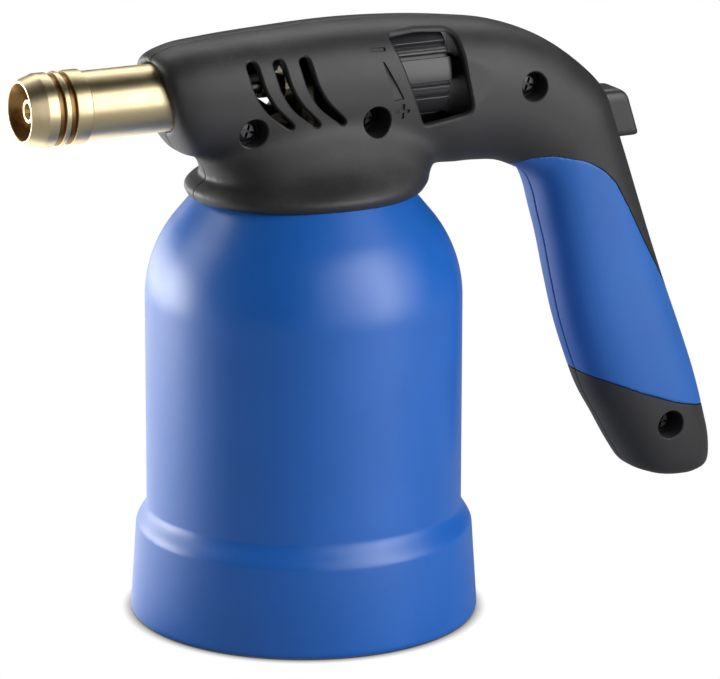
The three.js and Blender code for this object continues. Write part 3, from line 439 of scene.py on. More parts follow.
blue_paint = moulded(
    "blue_paint", (0.0065, 0.118, 0.5), 0.36, 900.0, 0.1, dust=0.02, distance=0.0001, specular=0.7,
)
black_plastic = moulded("black_plastic", (0.022, 0.022, 0.024), 0.5, 3200.0, 0.3, drift=0.12)
button_plastic = moulded("button_plastic", (0.02, 0.02, 0.022), 0.4, 3200.0, 0.15, drift=0.1)
knob_plastic = moulded("knob_plastic", (0.03, 0.03, 0.033), 0.36, 2600.0, 0.12, drift=0.1)
blue_rubber = moulded("blue_rubber", (0.016, 0.115, 0.43), 0.5, 2800.0, 0.22, dust=0.08)
can_paint = moulded("can_paint", (0.62, 0.62, 0.6), 0.35, 1200.0, 0.1)
ceramic = moulded("ceramic", (0.78, 0.76, 0.7), 0.3, 1800.0, 0.08, dust=0.03)
black_rubber = moulded("black_rubber", (0.012, 0.012, 0.013), 0.6, 2400.0, 0.2)


# %% The recipe for metal, and brushing round the burner's axis
AXIS = 161.0
MARKS_PER_METRE, MARK_RELIEF = 4200.0, 0.00006


def machined(name, color, dull_color, rough, dulling=0.35, bump=0.1):
    material, tree, shader = start_material(name)
    metal = use_group(
        tree, lathe_group, Color=(*color, 1.0), Dull_color=(*dull_color, 1.0),
        Marks_per_metre=MARKS_PER_METRE, Roughness=rough, Dulling=dulling,
    )
    color, rough, height = metal["Color"], metal["Roughness"], metal["Height"]
    link_finish(tree, shader, color, rough, height, bump, MARK_RELIEF)
    shader.inputs["Metallic"].default_value = 1.0
    return material


def brush_round(material, strength):
    """Stretches the reflections of the burner's pieces along their axis, which lies along X."""
    tree = material.node_tree
    shader = tree.nodes["Principled BSDF"]
    place = node(tree, "ShaderNodeTexCoord").outputs
    spoke = vector_node(tree, "SUBTRACT", place["Object"], (0, 0, AXIS * MM))[0]
    mark = vector_node(tree, "CROSS_PRODUCT", (1, 0, 0), spoke)[0]
    across = vector_node(tree, "CROSS_PRODUCT", mark, place["Normal"])[0]
    settings = {"convert_from": "OBJECT", "convert_to": "WORLD"}
    tangent = node(tree, "ShaderNodeVectorTransform", settings, i0=across).outputs[0]
    tree.links.new(tangent, shader.inputs["Tangent"])
    shader.inputs["Anisotropic"].default_value = strength


brass = machined("brass", (0.82, 0.68, 0.42), (0.7, 0.56, 0.34), 0.43, dulling=0.0, bump=0.02)
brush_round(brass, 0.7)
# Darkened brass for the floors of the head's two grooves: painted shade.
groove_shade_brass = machined("groove_shade_brass", (0.26, 0.15, 0.055), (0.16, 0.09, 0.03), 0.38, dulling=0.5)
heated_brass = machined("heated_brass", (0.62, 0.38, 0.15), (0.36, 0.18, 0.07), 0.34, dulling=0.6)
# Brass darkened far below its own colour: painted shade on the pieces inside the housing.
painted_shade_brass = machined("painted_shade_brass", (0.16, 0.14, 0.11), (0.1, 0.09, 0.07), 0.3)
steel = machined("steel", (0.62, 0.63, 0.64), (0.4, 0.4, 0.41), 0.32)
dark_steel = machined("dark_steel", (0.07, 0.07, 0.075), (0.04, 0.04, 0.04), 0.4)
print("finishes:", len(bpy.data.materials))

# %% [markdown]
# ## Handing a piece over
#
# Each piece is attached to the CAD body it moves with, gets its material, and hides the
# CAD nodes that it stands for. Edges sharper than a set angle stay crisp and all else is
# shaded smooth.

# %% One call that finishes a piece
SHARP_ANGLE = math.radians(38)


def shade(piece, angle=SHARP_ANGLE):
    piece.data.shade_smooth()
    piece.data.set_sharp_from_angle(angle=angle)


def hand_over(piece, body, material=None, stands_for=(), angle=SHARP_ANGLE):
    if material:
        piece.data.materials.clear()
        piece.data.materials.append(material)
    shade(piece, angle)
    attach(piece, body)
    if stands_for:
        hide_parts(*stands_for)
    print(f"{piece.name}: {triangles(piece)} triangles on {body}")
    return piece

# %% [markdown]
# ## The steel holder
#
# The holder is one pressed sheet: a dome that runs down into a straight wall and steps out
# into a skirt. It is painted, so its edges are round and its surface slightly uneven. The
# skin is turned from one closed profile that goes down the outside and back up inside.

# %% Sizes of the holder
BELL_WALL = 0.9
BELL_RADIUS = 47.0
BELL_HEIGHT = 134.0
DOME_RISE, DOME_ARC, DOME_SLOPE = 37.5, 38.0, math.radians(39.5)
DOME_CREST, DOME_TOP_RADIUS = 4.5, 24.0
SKIRT_TOP_RADIUS, SKIRT_RADIUS = 50.3, 51.9
SKIRT_HEIGHT, SKIRT_STEP_HEIGHT, SKIRT_LIFT = 26.2, 8.0, 0.4
EDGE_TUCK, EDGE_RISE = 0.6, 1.6
BELL_MOUTH = 15.3
# Steps round the lower edge, over the skirt's step, over the dome and round its crest
EDGE_STEPS, SKIRT_STEPS, DOME_STEPS, CREST_STEPS, BELL_TURN = 8, 16, 24, 6, 192


def bell_face(inset):
    """Points [radius, height] of the holder's outer face, or of one inside it."""
    face = []
    for angle in np.linspace(0, math.pi / 2, EDGE_STEPS + 1):
        radius = SKIRT_RADIUS - EDGE_TUCK * (1 - math.sin(angle)) - inset
        face.append((radius, SKIRT_LIFT + EDGE_RISE * (1 - math.cos(angle))))
    for share in np.linspace(0, 1, SKIRT_STEPS + 1):
        drop = (SKIRT_TOP_RADIUS - BELL_RADIUS) * (1 - math.cos(math.pi * share)) / 2
        face.append((SKIRT_TOP_RADIUS - inset - drop, SKIRT_HEIGHT + SKIRT_STEP_HEIGHT * share))
    arc, start = DOME_ARC - inset, BELL_HEIGHT - DOME_RISE
    for angle in np.linspace(0, DOME_SLOPE, DOME_STEPS + 1):
        face.append((BELL_RADIUS - DOME_ARC + arc * math.cos(angle), start + arc * math.sin(angle)))
    (last_radius, last_height), top = face[-1], BELL_HEIGHT - inset
    first, corner = (
        Vector((last_radius - (height - last_height) * math.tan(DOME_SLOPE), height))
        for height in (top - DOME_CREST, top)
    )
    end = Vector((DOME_TOP_RADIUS, top))
    face += [tuple(point) for point in bend(first, corner, end, CREST_STEPS)]
    return face


def make_bell():
    """The holder's skin, with a fold of paint round its lower edge."""
    outside = [(radius, height, 0) for radius, height in bell_face(0)]
    inside = [(radius, height, 0) for radius, height in reversed(bell_face(BELL_WALL))]
    lip = [(BELL_MOUTH, BELL_HEIGHT, 0.3), (BELL_MOUTH, BELL_HEIGHT - BELL_WALL, 0.3)]
    return turned_up("bell_skin", [*outside, *lip, *inside], BELL_TURN)


bell = hand_over(make_bell(), "holder", blue_paint, ["holder_bell"])

# %% [markdown]
# ## The housing's shape
#
# The moulded housing is a barrel that turns down into a handle, on a flared neck that sits
# on the holder. Both are lofts: rounded sections, placed along two curves in the side view.
# Where barrel and neck meet, the real moulding has a generous fillet. Joining the two,
# remeshing them with even voxels and then relaxing only the points near the junction gives
# that fillet, while the rest of the skin keeps its place.

# %% Sections of the barrel and of the neck
NOSE_REACH, SPAN, DROP, WIDTH = 51.5, 190.5, 155.7, 36.0
CROWN = 179.2
COLLAR_RADIUS, COLLAR_HEIGHT, COLLAR_RISE = 36.6, 131.3, 24.0
WALL, GRIP = 2.5, 1.8
GAP, SLIDE = 0.3, 0.35
SQUARENESS = 2.6
# The least distance between two points that a curve takes into account
SHORTEST = 1e-6
# Crown point, belly point (shares of the span and of the drop) and half the width
SECTION_SHARES = [
    [0.01, 0.065, 0.032, 0.176, 0.322], [0.0135, 0.041, 0.039, 0.195, 0.378],
    [0.05, 0.022, 0.057, 0.225, 0.428], [0.108, 0.014, 0.102, 0.238, 0.461],
    [0.205, 0.0075, 0.192, 0.246, 0.489], [0.328, 0.0035, 0.302, 0.254, 0.5],
    [0.436, 0.009, 0.407, 0.275, 0.5], [0.522, 0.02, 0.486, 0.297, 0.494],
    [0.596, 0.0355, 0.543, 0.299, 0.478], [0.669, 0.069, 0.592, 0.3055, 0.461],
    [0.735, 0.123, 0.634, 0.326, 0.447], [0.782, 0.181, 0.657, 0.342, 0.439],
    [0.803, 0.245, 0.6715, 0.376, 0.428], [0.823, 0.311, 0.682, 0.425, 0.417],
    [0.847, 0.396, 0.6945, 0.482, 0.408], [0.871, 0.48, 0.7095, 0.566, 0.403],
    [0.901, 0.581, 0.726, 0.649, 0.403], [0.933, 0.683, 0.748, 0.73, 0.403],
    [0.96, 0.775, 0.771, 0.8, 0.4], [0.979, 0.856, 0.799, 0.859, 0.389],
    [0.991, 0.92, 0.829, 0.923, 0.367], [0.989, 0.968, 0.853, 0.963, 0.333],
    [0.967, 0.983, 0.882, 0.979, 0.267],
]
# Height as a share of the neck's rise, then front, back and side reach
NECK_SHARES = [
    [-0.11, 0.951, 0.985, 0.863], [0, 0.982, 1.033, 0.891], [0.087, 0.94, 1.05, 0.852],
    [0.175, 0.865, 1.1, 0.776], [0.279, 0.885, 1.165, 0.694], [0.404, 0.93, 1.22, 0.623],
    [0.571, 0.945, 1.245, 0.552], [0.779, 1.011, 1.28, 0.475],
]


def span_x(share):
    return SPAN * share - NOSE_REACH


def drop_z(share):
    return CROWN - DROP * share


def side_points(shares):
    return [(span_x(x), drop_z(z)) for x, z in shares]


def smooth_curve(points, shares):
    """Points of a centripetal Catmull-Rom curve at shares of the way through its points."""
    points = np.asarray(points, float)
    last = len(points) - 1
    out = []
    for share in np.clip(shares, 0, 1):
        i = min(int(share * last), last - 1)
        weight = share * last - i
        b, c = points[i], points[i + 1]
        a = points[i - 1] if i > 0 else 2 * b - c
        d = points[i + 2] if i + 2 <= last else 2 * c - b
        before, here, after = (
            math.sqrt(max(np.linalg.norm(q - p), SHORTEST)) for p, q in ((a, b), (b, c), (c, d))
        )
        leave = ((b - a) / before - (c - a) / (before + here) + (c - b) / here) * here
        arrive = ((c - b) / here - (d - b) / (here + after) + (d - c) / after) * here
        bend, twist = -3 * b + 3 * c - 2 * leave - arrive, 2 * b - 2 * c + leave + arrive
        out.append(b + leave * weight + bend * weight ** 2 + twist * weight ** 3)
    return np.array(out)


def bulge(value):
    return np.sign(value) * np.abs(value) ** (2 / SQUARENESS)


def make_trunk(name, wall=0.0, start=0.0, end=1.0, count=150, size=88):
    """Barrel and handle, drawn in by a wall, or by a function of the share of the way."""
    shares = np.linspace(start, end, count + 1)
    crown = [(span_x(x), width * WIDTH, drop_z(z)) for x, z, _, _, width in SECTION_SHARES]
    belly = [(span_x(x), 0, drop_z(z)) for _, _, x, z, _ in SECTION_SHARES]
    angles = circle(size)
    rings = []
    for share, top, bottom in zip(shares, smooth_curve(crown, shares), smooth_curve(belly, shares)):
        inset = wall(share) if callable(wall) else wall
        half_width = top[1] - inset
        top = np.array([top[0], 0, top[2]])
        middle, upright = (top + bottom) / 2, (top - bottom) / 2
        reach = np.linalg.norm(upright)
        upright = upright * (reach - inset) / reach
        ring = middle + np.outer(bulge(np.sin(angles)), upright)
        ring[:, 1] = half_width * bulge(np.cos(angles))
        rings.append(ring)
    return through_rings(name, rings)


def make_neck(name, wall=0.0, below=0.0, count=40, size=96):
    """The flared neck, drawn in by a wall and run out below by a length."""
    rows = smooth_curve([[*row] for row in NECK_SHARES], np.linspace(0, 1, count + 1))
    angles = circle(size)
    rings = []
    for rise, front, back, side in rows:
        low, high = wall - front * COLLAR_RADIUS, back * COLLAR_RADIUS - wall
        ring = np.zeros((size, 3))
        ring[:, 0] = (low + high) / 2 + (high - low) / 2 * np.sin(angles)
        ring[:, 1] = (side * COLLAR_RADIUS - wall) * np.cos(angles)
        ring[:, 2] = COLLAR_HEIGHT + rise * COLLAR_RISE
        rings.append(ring)
    if below:
        rings.insert(0, rings[0] - np.array([0, 0, below]))
    return through_rings(name, rings)


# %% [markdown]
# ## One skin with a fillet
#
# The remeshed skin is relaxed twice. A strong pass acts only where a point lies close to both
# lofts at once, which is true along their junction and nowhere else. A light pass over every
# point then takes away the faint steps that voxels leave.

# %% Voxels and relaxing
SHRINK, SWELL = 0.5, -0.53


def nearest_gap(piece, points):
    """Distance in millimetres from each point to a piece's surface."""
    tree = BVHTree.FromObject(piece, bpy.context.evaluated_depsgraph_get())
    return np.array([tree.find_nearest(Vector(point))[3] for point in points]) / MM


def relax(piece, passes, weights=1.0, swell=0.0):
    """Moves points towards the mean of their neighbours, then back out, by their weights."""
    mesh = piece.data
    points = np.empty(len(mesh.vertices) * 3)
    mesh.vertices.foreach_get("co", points)
    points = points.reshape(-1, 3)
    edges = np.empty(len(mesh.edges) * 2, int)
    mesh.edges.foreach_get("vertices", edges)
    first, second = edges.reshape(-1, 2).T
    ends, others = np.concatenate([first, second]), np.concatenate([second, first])
    valence = np.bincount(ends, minlength=len(points))
    weights = np.broadcast_to(weights, len(points))[:, None]
    for pull in [SHRINK, swell] * passes:
        if pull == 0:
            continue
        sums = [np.bincount(ends, points[others, k], len(points)) for k in range(3)]
        points = points + (np.stack(sums, 1) / valence[:, None] - points) * (pull * weights)
    mesh.vertices.foreach_set("co", points.ravel())
    mesh.update()


def voxel_skin(piece, size):
    step = piece.modifiers.new("voxels", "REMESH")
    step.mode = "VOXEL"
    step.voxel_size = size * MM
    return bake(piece)


# %% [markdown]
# ## The button's bar and the thumb flats
#
# Three things are cut out of the skin before it gets its voxels, so that their edges come out
# soft: the nose's round mouth, the slot of the button, and a shallow flat behind each window,
# which leads a thumb to the knob. The slot is the button's own bar, grown by a clearance.

# %% Outlines with fillets, the bar and the flats
BUTTON_FRONT, BUTTON_HEIGHT = span_x(0.743), drop_z(0.2385)
BUTTON_HALF, BUTTON_HALF_HEIGHT = 6.5, 7.4
# How far the button reaches at its top and at its bottom
BUTTON_TOP, BUTTON_BOTTOM = 15.4, 20.1
# Fillets in the side view, and of the long edges at the top and at the bottom
BUTTON_FILLETS, BUTTON_ROUND, BUTTON_KEEN = (0.4, 1.0, 4.2, 0.4), 2.7, 1.0
# How far the section runs past the button's front and past its bottom end
BAR_START, BAR_OVER = 1.0, 9.0
# Plan view [x, y] of a flat: from inside the window back to where it runs out. It leans in
# towards its top by a share of the height.
SCOOP_FRONT, SCOOP_BACK = (43.0, 16.55), (64.5, 17.55)
SCOOP_LEAN = 0.1


def rounded_outline(outline, fillets, steps=6):
    """Swaps the corners of a closed outline for arcs, by one fillet or by one for each corner."""
    out = []
    for i, fillet in enumerate(np.broadcast_to(fillets, len(outline))):
        after = outline[(i + 1) % len(outline)]
        out += corner_arc(outline[i - 1], outline[i], after, fillet, steps)
    return out


def make_button_bar(name, grow=0.0):
    """The button's wedge with its long edges rounded, grown on all sides by a clearance."""
    half, tall = BUTTON_HALF + grow, BUTTON_HALF_HEIGHT + grow
    low, high = BUTTON_HEIGHT - tall, BUTTON_HEIGHT + tall
    top_end, bottom_end = BUTTON_FRONT + BUTTON_TOP, BUTTON_FRONT + BUTTON_BOTTOM
    corners = [(BUTTON_FRONT, low), (bottom_end, low), (top_end, high), (BUTTON_FRONT, high)]
    section = []
    quarters = (
        (1, 1, BUTTON_ROUND), (-1, 1, BUTTON_ROUND), (-1, -1, BUTTON_KEEN), (1, -1, BUTTON_KEEN),
    )
    for quarter, (way_y, way_z, fillet) in enumerate(quarters):
        y, z = way_y * (half - fillet), BUTTON_HEIGHT + way_z * (tall - fillet)
        for angle in np.radians(np.linspace(90 * quarter, 90 * quarter + 90, 9)):
            section.append((y + fillet * math.cos(angle), z + fillet * math.sin(angle)))
    ends = (BUTTON_FRONT - BAR_START, bottom_end + BAR_OVER)
    along = through_rings("section", [[(x, y, z) for y, z in section] for x in ends])
    wedge = prism(name, rounded_outline(corners, BUTTON_FILLETS, 8), -half, half)
    return carve(wedge, [along], "INTERSECT")


def make_scoop(side):
    plan = [SCOOP_FRONT, SCOOP_BACK, (SCOOP_BACK[0], 2 * WIDTH), (SCOOP_FRONT[0], 2 * WIDTH)]
    rings = [
        [(x, side * (y - SCOOP_LEAN * rise), AXIS + rise) for x, y in plan]
        for rise in (-WIDTH, WIDTH)
    ]
    return through_rings("scoop", rings)


# %% The skin
VOXEL, FILLET_REACH, FILLET_PULL = 0.75, 7.0, 1.6
FILLET_PASSES, LIGHT_PASSES = 60, 3
NOSE_END, TUBE_RADIUS, TUBE_BACK = -90.0, 10.0, 30.0
NOSE_TURN = 96


def nose_bore():
    return rod_along("nose_bore", TUBE_RADIUS + GAP, NOSE_END, -TUBE_BACK, AXIS, NOSE_TURN)


def make_skin():
    """The housing's outer shape as one closed body, with its round mouths already in it."""
    trunk, neck = make_trunk("trunk"), make_neck("neck")
    skin = carve(copy_of(trunk, "skin"), [copy_of(neck, "neck_copy")], "UNION")
    cutters = [nose_bore(), make_button_bar("button_slot", SLIDE), make_scoop(-1), make_scoop(1)]
    voxel_skin(carve(skin, cutters), VOXEL)
    points = [vertex.co for vertex in skin.data.vertices]
    near = nearest_gap(trunk, points) + nearest_gap(neck, points)
    relax(skin, FILLET_PASSES, np.clip(FILLET_PULL * (1 - near / FILLET_REACH), 0, 1))
    relax(skin, LIGHT_PASSES, swell=SWELL)
    for loft in (trunk, neck):
        bpy.data.objects.remove(loft)
    return skin


skin = make_skin()
print("skin:", triangles(skin), "triangles")

# %% [markdown]
# ## Openings with a rolled lip
#
# Every opening of the real moulding has a rounded lip, which shows as a thin light line on
# its lower side. A cutter gets that lip from its own shape: its outline is laid on the skin
# by casting a ray at each point, and a few wider rings near the surface flare it open like
# the bell of a trumpet. The same call makes vents, the knob's window, screw holes and the
# shallow engraved marks, which only differ in outline, lip and depth.

# %% Outlines and the cutter that follows the skin
# Where cutters and rays start, how far a cutter's second ring stands off the skin, the place
# of a ray that misses it, and the least depth below a lip
OUTSIDE, RAY_START, SKIN_MARGIN = WIDTH / 2 + 3.0, 80.0, 0.3
MISSED, LEAST_DEPTH = 2.0, 0.01
# How far round its quarter circle each ring of a lip lies
LIP_ANGLES = [math.radians(angle) for angle in (20, 38, 55, 72, 90)]
skin_tree = BVHTree.FromObject(skin, bpy.context.evaluated_depsgraph_get())


def spread(outline, spacing=0.6):
    """The same closed outline with points about every spacing."""
    points = [Vector(point) for point in outline]
    out = []
    for here, there in zip(points, points[1:] + points[:1]):
        count = max(1, round((there - here).length / spacing))
        out += [here.lerp(there, k / count) for k in range(count)]
    return out


def grown(outline, amount):
    """The outline moved outwards along its own normals."""
    count = len(outline)
    area = sum(outline[i - 1].cross(outline[i]) for i in range(count))
    out = []
    for i, point in enumerate(outline):
        along = (outline[(i + 1) % count] - outline[i - 1]).normalized()
        outward = Vector((along.y, -along.x)) * (1 if area > 0 else -1)
        out.append(point + outward * amount)
    return out


def on_skin(point, side):
    """The place on the housing's surface at [x, z] in the side view, and its normal."""
    x, z = point
    outward = Vector((0, side, 0))
    place, normal = skin_tree.ray_cast(Vector((x, side * RAY_START, z)) * MM, -outward)[:2]
    return (Vector((x, MISSED * side, z)), outward) if place is None else (place / MM, normal)


def lip_cutter(name, outline, side, lip, depth=0.0, floor=None):
    """A cutter for one opening. It ends at a depth below the surface, or on a plane y = floor."""
    first = grown(outline, lip)
    margin = Vector((0, side * SKIN_MARGIN, 0))
    rings = [
        [Vector((x, side * OUTSIDE, z)) for x, z in first],
        [on_skin(point, side)[0] + margin for point in first],
    ]
    for angle in LIP_ANGLES:
        laid = [on_skin(point, side) for point in grown(outline, lip * (1 - math.sin(angle)))]
        rings.append([place - normal * lip * (1 - math.cos(angle)) for place, normal in laid])
    last = [point - Vector((0, side * max(depth - lip, LEAST_DEPTH), 0)) for point in rings[-1]]
    rings.append(last if floor is None else [Vector((x, floor, z)) for x, _, z in last])
    return through_rings(name, [[tuple(point) for point in ring] for ring in rings])


# %% [markdown]
# ## Inside the housing
#
# Both halves carry a floor that the valve is clamped to, a rib that centres the burner tube,
# a bearing for the knob, two cradles for the igniter, and bosses for the screws. They show
# only through the vents and the window, so plain blocks and rods are enough. Each is first
# limited to the space just inside the outer skin, so that none can poke through it.

# %% Sizes of the fittings
FLOOR_BASE, FLOOR_TOP, RIB = 145.6, 148.0, 2.4
STEM_HOLE, STEM_BASE = 6.9, 139.0
FRONT_RIB = -35.8
KNOB_FRONT, KNOB_LENGTH, KNOB_RADIUS = 23.2, 19.0, 14.0
KNOB_BACK = KNOB_FRONT + KNOB_LENGTH
STUB_RADIUS, STUB_ROOM = 4.0, 6.0
BEARING_FRONT = KNOB_BACK + 5.0
PIEZO_BACK = BUTTON_FRONT - 10.0
PIEZO_FRONT, PIEZO_RADIUS = PIEZO_BACK - 24.0, 5.2
CRADLE_BASE, CRADLE_RISE, CRADLE_INSET = 125.0, 9.2, 2.0
SCREW_HOLE, SCREW_HEAD, SCREW_SHANK = 4.4, 3.3, 1.4
SHANK_END, SHANK_TURN = 9.3, 24
BOSS_FLOOR, BOSS_WALL, BOSS_CORE = 2.4, 1.5, 3.5
# Each screw's place [x, z], and how far its seat lies from the middle plane
SCREWS = [
    ((-23.8, 151.0), 9.0), ((15.3, 151.0), 7.56),
    ((span_x(0.629), drop_z(0.15)), 9.0), ((span_x(0.894), drop_z(0.868)), 5.4),
]
# How far inside the outer skin the fittings stay
FITTING_INSET = 0.8
# Where the hollow starts and ends in the trunk, and how far it runs out below the neck
HOLLOW_START, HOLLOW_END, HOLLOW_DROP = 0.07, 0.975, 6.0
# Fewer rings and points for lofts that stay inside
COARSE = {"count": 60, "size": 40}
# From where on, and over what share of the trunk, the wall thickens
GRIP_START, GRIP_RUN = 0.52, 0.1
DOME_TURN = 96


# %% Fittings and the hollow
def handle_wall(share):
    """The wall thickens where the handle starts, to carry the grips."""
    return WALL + (GRIP + GAP) * min(max((share - GRIP_START) / GRIP_RUN, 0), 1)


def make_fittings():
    side = WIDTH / 2
    floor_end = SCREWS[1][0][0] + BOSS_CORE
    uprights = [
        (FRONT_RIB, FLOOR_BASE, CROWN), (BEARING_FRONT, AXIS - KNOB_RADIUS, CROWN),
        (PIEZO_FRONT + CRADLE_INSET, CRADLE_BASE, BUTTON_HEIGHT + CRADLE_RISE),
        (PIEZO_BACK - CRADLE_INSET - RIB, CRADLE_BASE, BUTTON_HEIGHT + CRADLE_RISE),
    ]
    parts = [block("upright", (x, -side, low), (x + RIB, side, high)) for x, low, high in uprights]
    for place, seat in SCREWS:
        parts.append(rod_across("post", BOSS_CORE, place, -side, side))
        parts.append(rod_across("cup", SCREW_HOLE + BOSS_WALL, place, -side, BOSS_FLOOR - seat))
    fittings = block("floor", (-COLLAR_RADIUS, -side, FLOOR_BASE), (floor_end, side, FLOOR_TOP))
    carve(fittings, parts, "UNION")
    limit = make_trunk("limit", FITTING_INSET, **COARSE)
    carve(limit, [make_neck("neck_limit", FITTING_INSET, size=COARSE["size"])], "UNION")
    carve(fittings, [limit], "INTERSECT")
    top = FLOOR_TOP + GAP
    stem = [(0, STEM_BASE, 0), (STEM_HOLE, STEM_BASE, 0), (STEM_HOLE, top, 0), (0, top, 0)]
    return carve(fittings, [
        turned_up("stem_hole", stem, HOLE_TURN),
        rod_along("tube_hole", TUBE_RADIUS + GAP, NOSE_END, -TUBE_BACK, AXIS),
        rod_along("stub_hole", STUB_RADIUS + SLIDE, KNOB_BACK, BEARING_FRONT + STUB_ROOM, AXIS),
        rod_along("igniter_hole", PIEZO_RADIUS + GAP, PIEZO_FRONT, PIEZO_BACK, BUTTON_HEIGHT),
    ])


def make_hollow():
    trunk = make_trunk("hollow", handle_wall, HOLLOW_START, HOLLOW_END, **COARSE)
    neck = make_neck("neck_hollow", WALL, HOLLOW_DROP, size=COARSE["size"])
    return carve(trunk, [neck], "UNION")


def make_dome_space():
    reach = BELL_RADIUS + GAP
    face = [(radius, height, 0) for radius, height in bell_face(-GAP) if radius <= reach]
    return turned_up("dome_space", [(0, face[0][1], 0), *face, (0, face[-1][1], 0)], DOME_TURN)


# %% Grips: their outline in the side view
GRIP_SHARES = [
    [0.618, 0.322], [0.619, 0.308], [0.634, 0.296], [0.672, 0.294], [0.727, 0.31],
    [0.757, 0.331], [0.782, 0.359], [0.809, 0.414], [0.844, 0.492], [0.879, 0.561],
    [0.902, 0.602], [0.937, 0.656], [1.01, 0.676], [1.031, 0.865], [0.971, 0.846],
    [0.902, 0.823], [0.844, 0.797], [0.796, 0.772], [0.756, 0.754], [0.734, 0.751],
    [0.669, 0.74], [0.606, 0.444],
]
GRIP_FILLET = 12.0
# The second pass rounds the short edges that the first one leaves
GRIP_OUTLINE = rounded_outline(side_points(GRIP_SHARES), GRIP_FILLET)
GRIP_OUTLINE = rounded_outline(GRIP_OUTLINE, GRIP_FILLET, 1)


def grip_region(name, extra=0.0):
    return prism(name, grown(spread(GRIP_OUTLINE), extra), -WIDTH, WIDTH)


print("grip outline:", len(GRIP_OUTLINE), "points")

# %% [markdown]
# ## Vents, window and marks
#
# The three vents lean back and taper, and both sides of the housing have them. The window
# shows the knob's drum. Beside it a wedge between a minus and a plus tells which way to
# turn: such marks are moulded in, so they are cut as shallow grooves.

# %% Outlines of the openings
SLOT_COUNT, SLOT_TOP, SLOT_BOTTOM = 3, 3.4, 1.8
SLOT_SHARES = [[0.1455, 0.056], [0.154, 0.099], [0.173, 0.138], [0.2055, 0.174]]
SLOT_PITCH_SHARE = 0.0433
SLOT_STEPS, SLOT_END_STEPS = 24, 8
# The window, as shares of the knob's length and radius, and the fillet of each corner
WINDOW_SHARES = [
    [-0.09, 1.0, 0.9], [0.42, 1.045, 6], [1.07, 0.97, 4.5],
    [1.17, 0.05, 8], [1.27, -0.76, 3], [0.415, -0.94, 2],
]
MARK_WIDTH, MARK_LIP, MARK_DEPTH, MARK_LEAN = 0.95, 0.2, 0.6, -0.05
MARK_STEPS = 3
BAR_FILLET, BAR_SPACING, WEDGE_FILLET, WEDGE_SPACING = 0.2, 0.3, 0.25, 0.4
# Middle and length of the bars of the minus and the plus, and the wedge's corners
MINUS, PLUS = ((16.4, 172.0), 5.0), ((23.5, 153.3), 4.4)
WEDGE = [(17.2, 169.6), (23.9, 157.0), (20.6, 156.8)]


def slot_outline(index):
    """A leaning slot round a curved middle line, with round ends."""
    line = side_points([(x + SLOT_PITCH_SHARE * index, z) for x, z in SLOT_SHARES])
    shares = np.linspace(0, 1, SLOT_STEPS + 1)
    places = smooth_curve(line, shares)
    along = np.gradient(places, axis=0)
    along /= np.linalg.norm(along, axis=1)[:, None]
    across = np.column_stack([-along[:, 1], along[:, 0]])
    halves = (SLOT_TOP + (SLOT_BOTTOM - SLOT_TOP) * shares ** 3)[:, None] / 2
    turn = np.linspace(0, math.pi, SLOT_END_STEPS + 1)[1:-1, None]
    end, start = (
        places[k] + sign * halves[k] * (across[k] * np.cos(turn) + along[k] * np.sin(turn))
        for k, sign in ((-1, 1), (0, -1))
    )
    sides = places + across * halves, places - across * halves
    return [Vector(point) for point in np.concatenate([sides[0], end, sides[1][::-1], start])]


def window_outline():
    corners = [(KNOB_FRONT + KNOB_LENGTH * x, AXIS + KNOB_RADIUS * z) for x, z, _ in WINDOW_SHARES]
    return spread(rounded_outline(corners, [row[2] for row in WINDOW_SHARES]))


def bar_outline(middle, length, turn):
    along = Vector((math.cos(turn), math.sin(turn)))
    half, wide = along * length / 2, Vector((-along.y, along.x)) * MARK_WIDTH / 2
    corners = [
        Vector(middle) + half * x + wide * y for x, y in ((-1, -1), (1, -1), (1, 1), (-1, 1))
    ]
    return spread(rounded_outline(corners, BAR_FILLET, MARK_STEPS), BAR_SPACING)


MARKS = [
    bar_outline(*MINUS, MARK_LEAN), bar_outline(*PLUS, MARK_LEAN),
    bar_outline(*PLUS, math.pi / 2 + MARK_LEAN),
    spread(rounded_outline(WEDGE, WEDGE_FILLET, MARK_STEPS), WEDGE_SPACING),
]
print("vents:", SLOT_COUNT, "marks:", len(MARKS))

# %% [markdown]
# ## Cutting the two halves
#
# First the skin gets its hollow, its fittings and the spaces for what turns or slides in it.
# Then its openings are cut, and the holes for the screws' shanks. At the end a block takes
# one side away. A hair's breadth is left open on the middle plane, and the outer points
# beside it are drawn in a little, so that the parting line shows as it does on a real
# two-part moulding.

# %% Carving the housing
SIDES = (("left", -1), ("right", 1))
PARTING, FAR = 0.07, 300.0
# Points this close to the middle plane and to the skin are drawn in
SEAM_SINK, SEAM_BAND, SEAM_NEAR = 0.16, 0.02, 0.03
OPENING_FLOOR = 6.0
VENT_LIP, WINDOW_LIP, SCREW_LIP = 0.75, 1.1, 0.5


def opening_cutters(side):
    floor = side * OPENING_FLOOR
    cutters = [
        lip_cutter("vent", slot_outline(k), side, VENT_LIP, floor=floor)
        for k in range(SLOT_COUNT)
    ]
    cutters.append(lip_cutter("window", window_outline(), side, WINDOW_LIP, floor=floor))
    if side > 0:
        return cutters
    for place, seat in SCREWS:
        hole = circle_outline(place, SCREW_HOLE)
        cutters.append(lip_cutter("screw_hole", hole, side, SCREW_LIP, floor=-seat))
    cutters += [lip_cutter("mark", outline, side, MARK_LIP, MARK_DEPTH) for outline in MARKS]
    return cutters


def keep_side(piece, side):
    low, high = sorted((side * PARTING, side * FAR))
    return carve(piece, [block("side", (-FAR, low, -FAR), (FAR, high, FAR))], "INTERSECT")


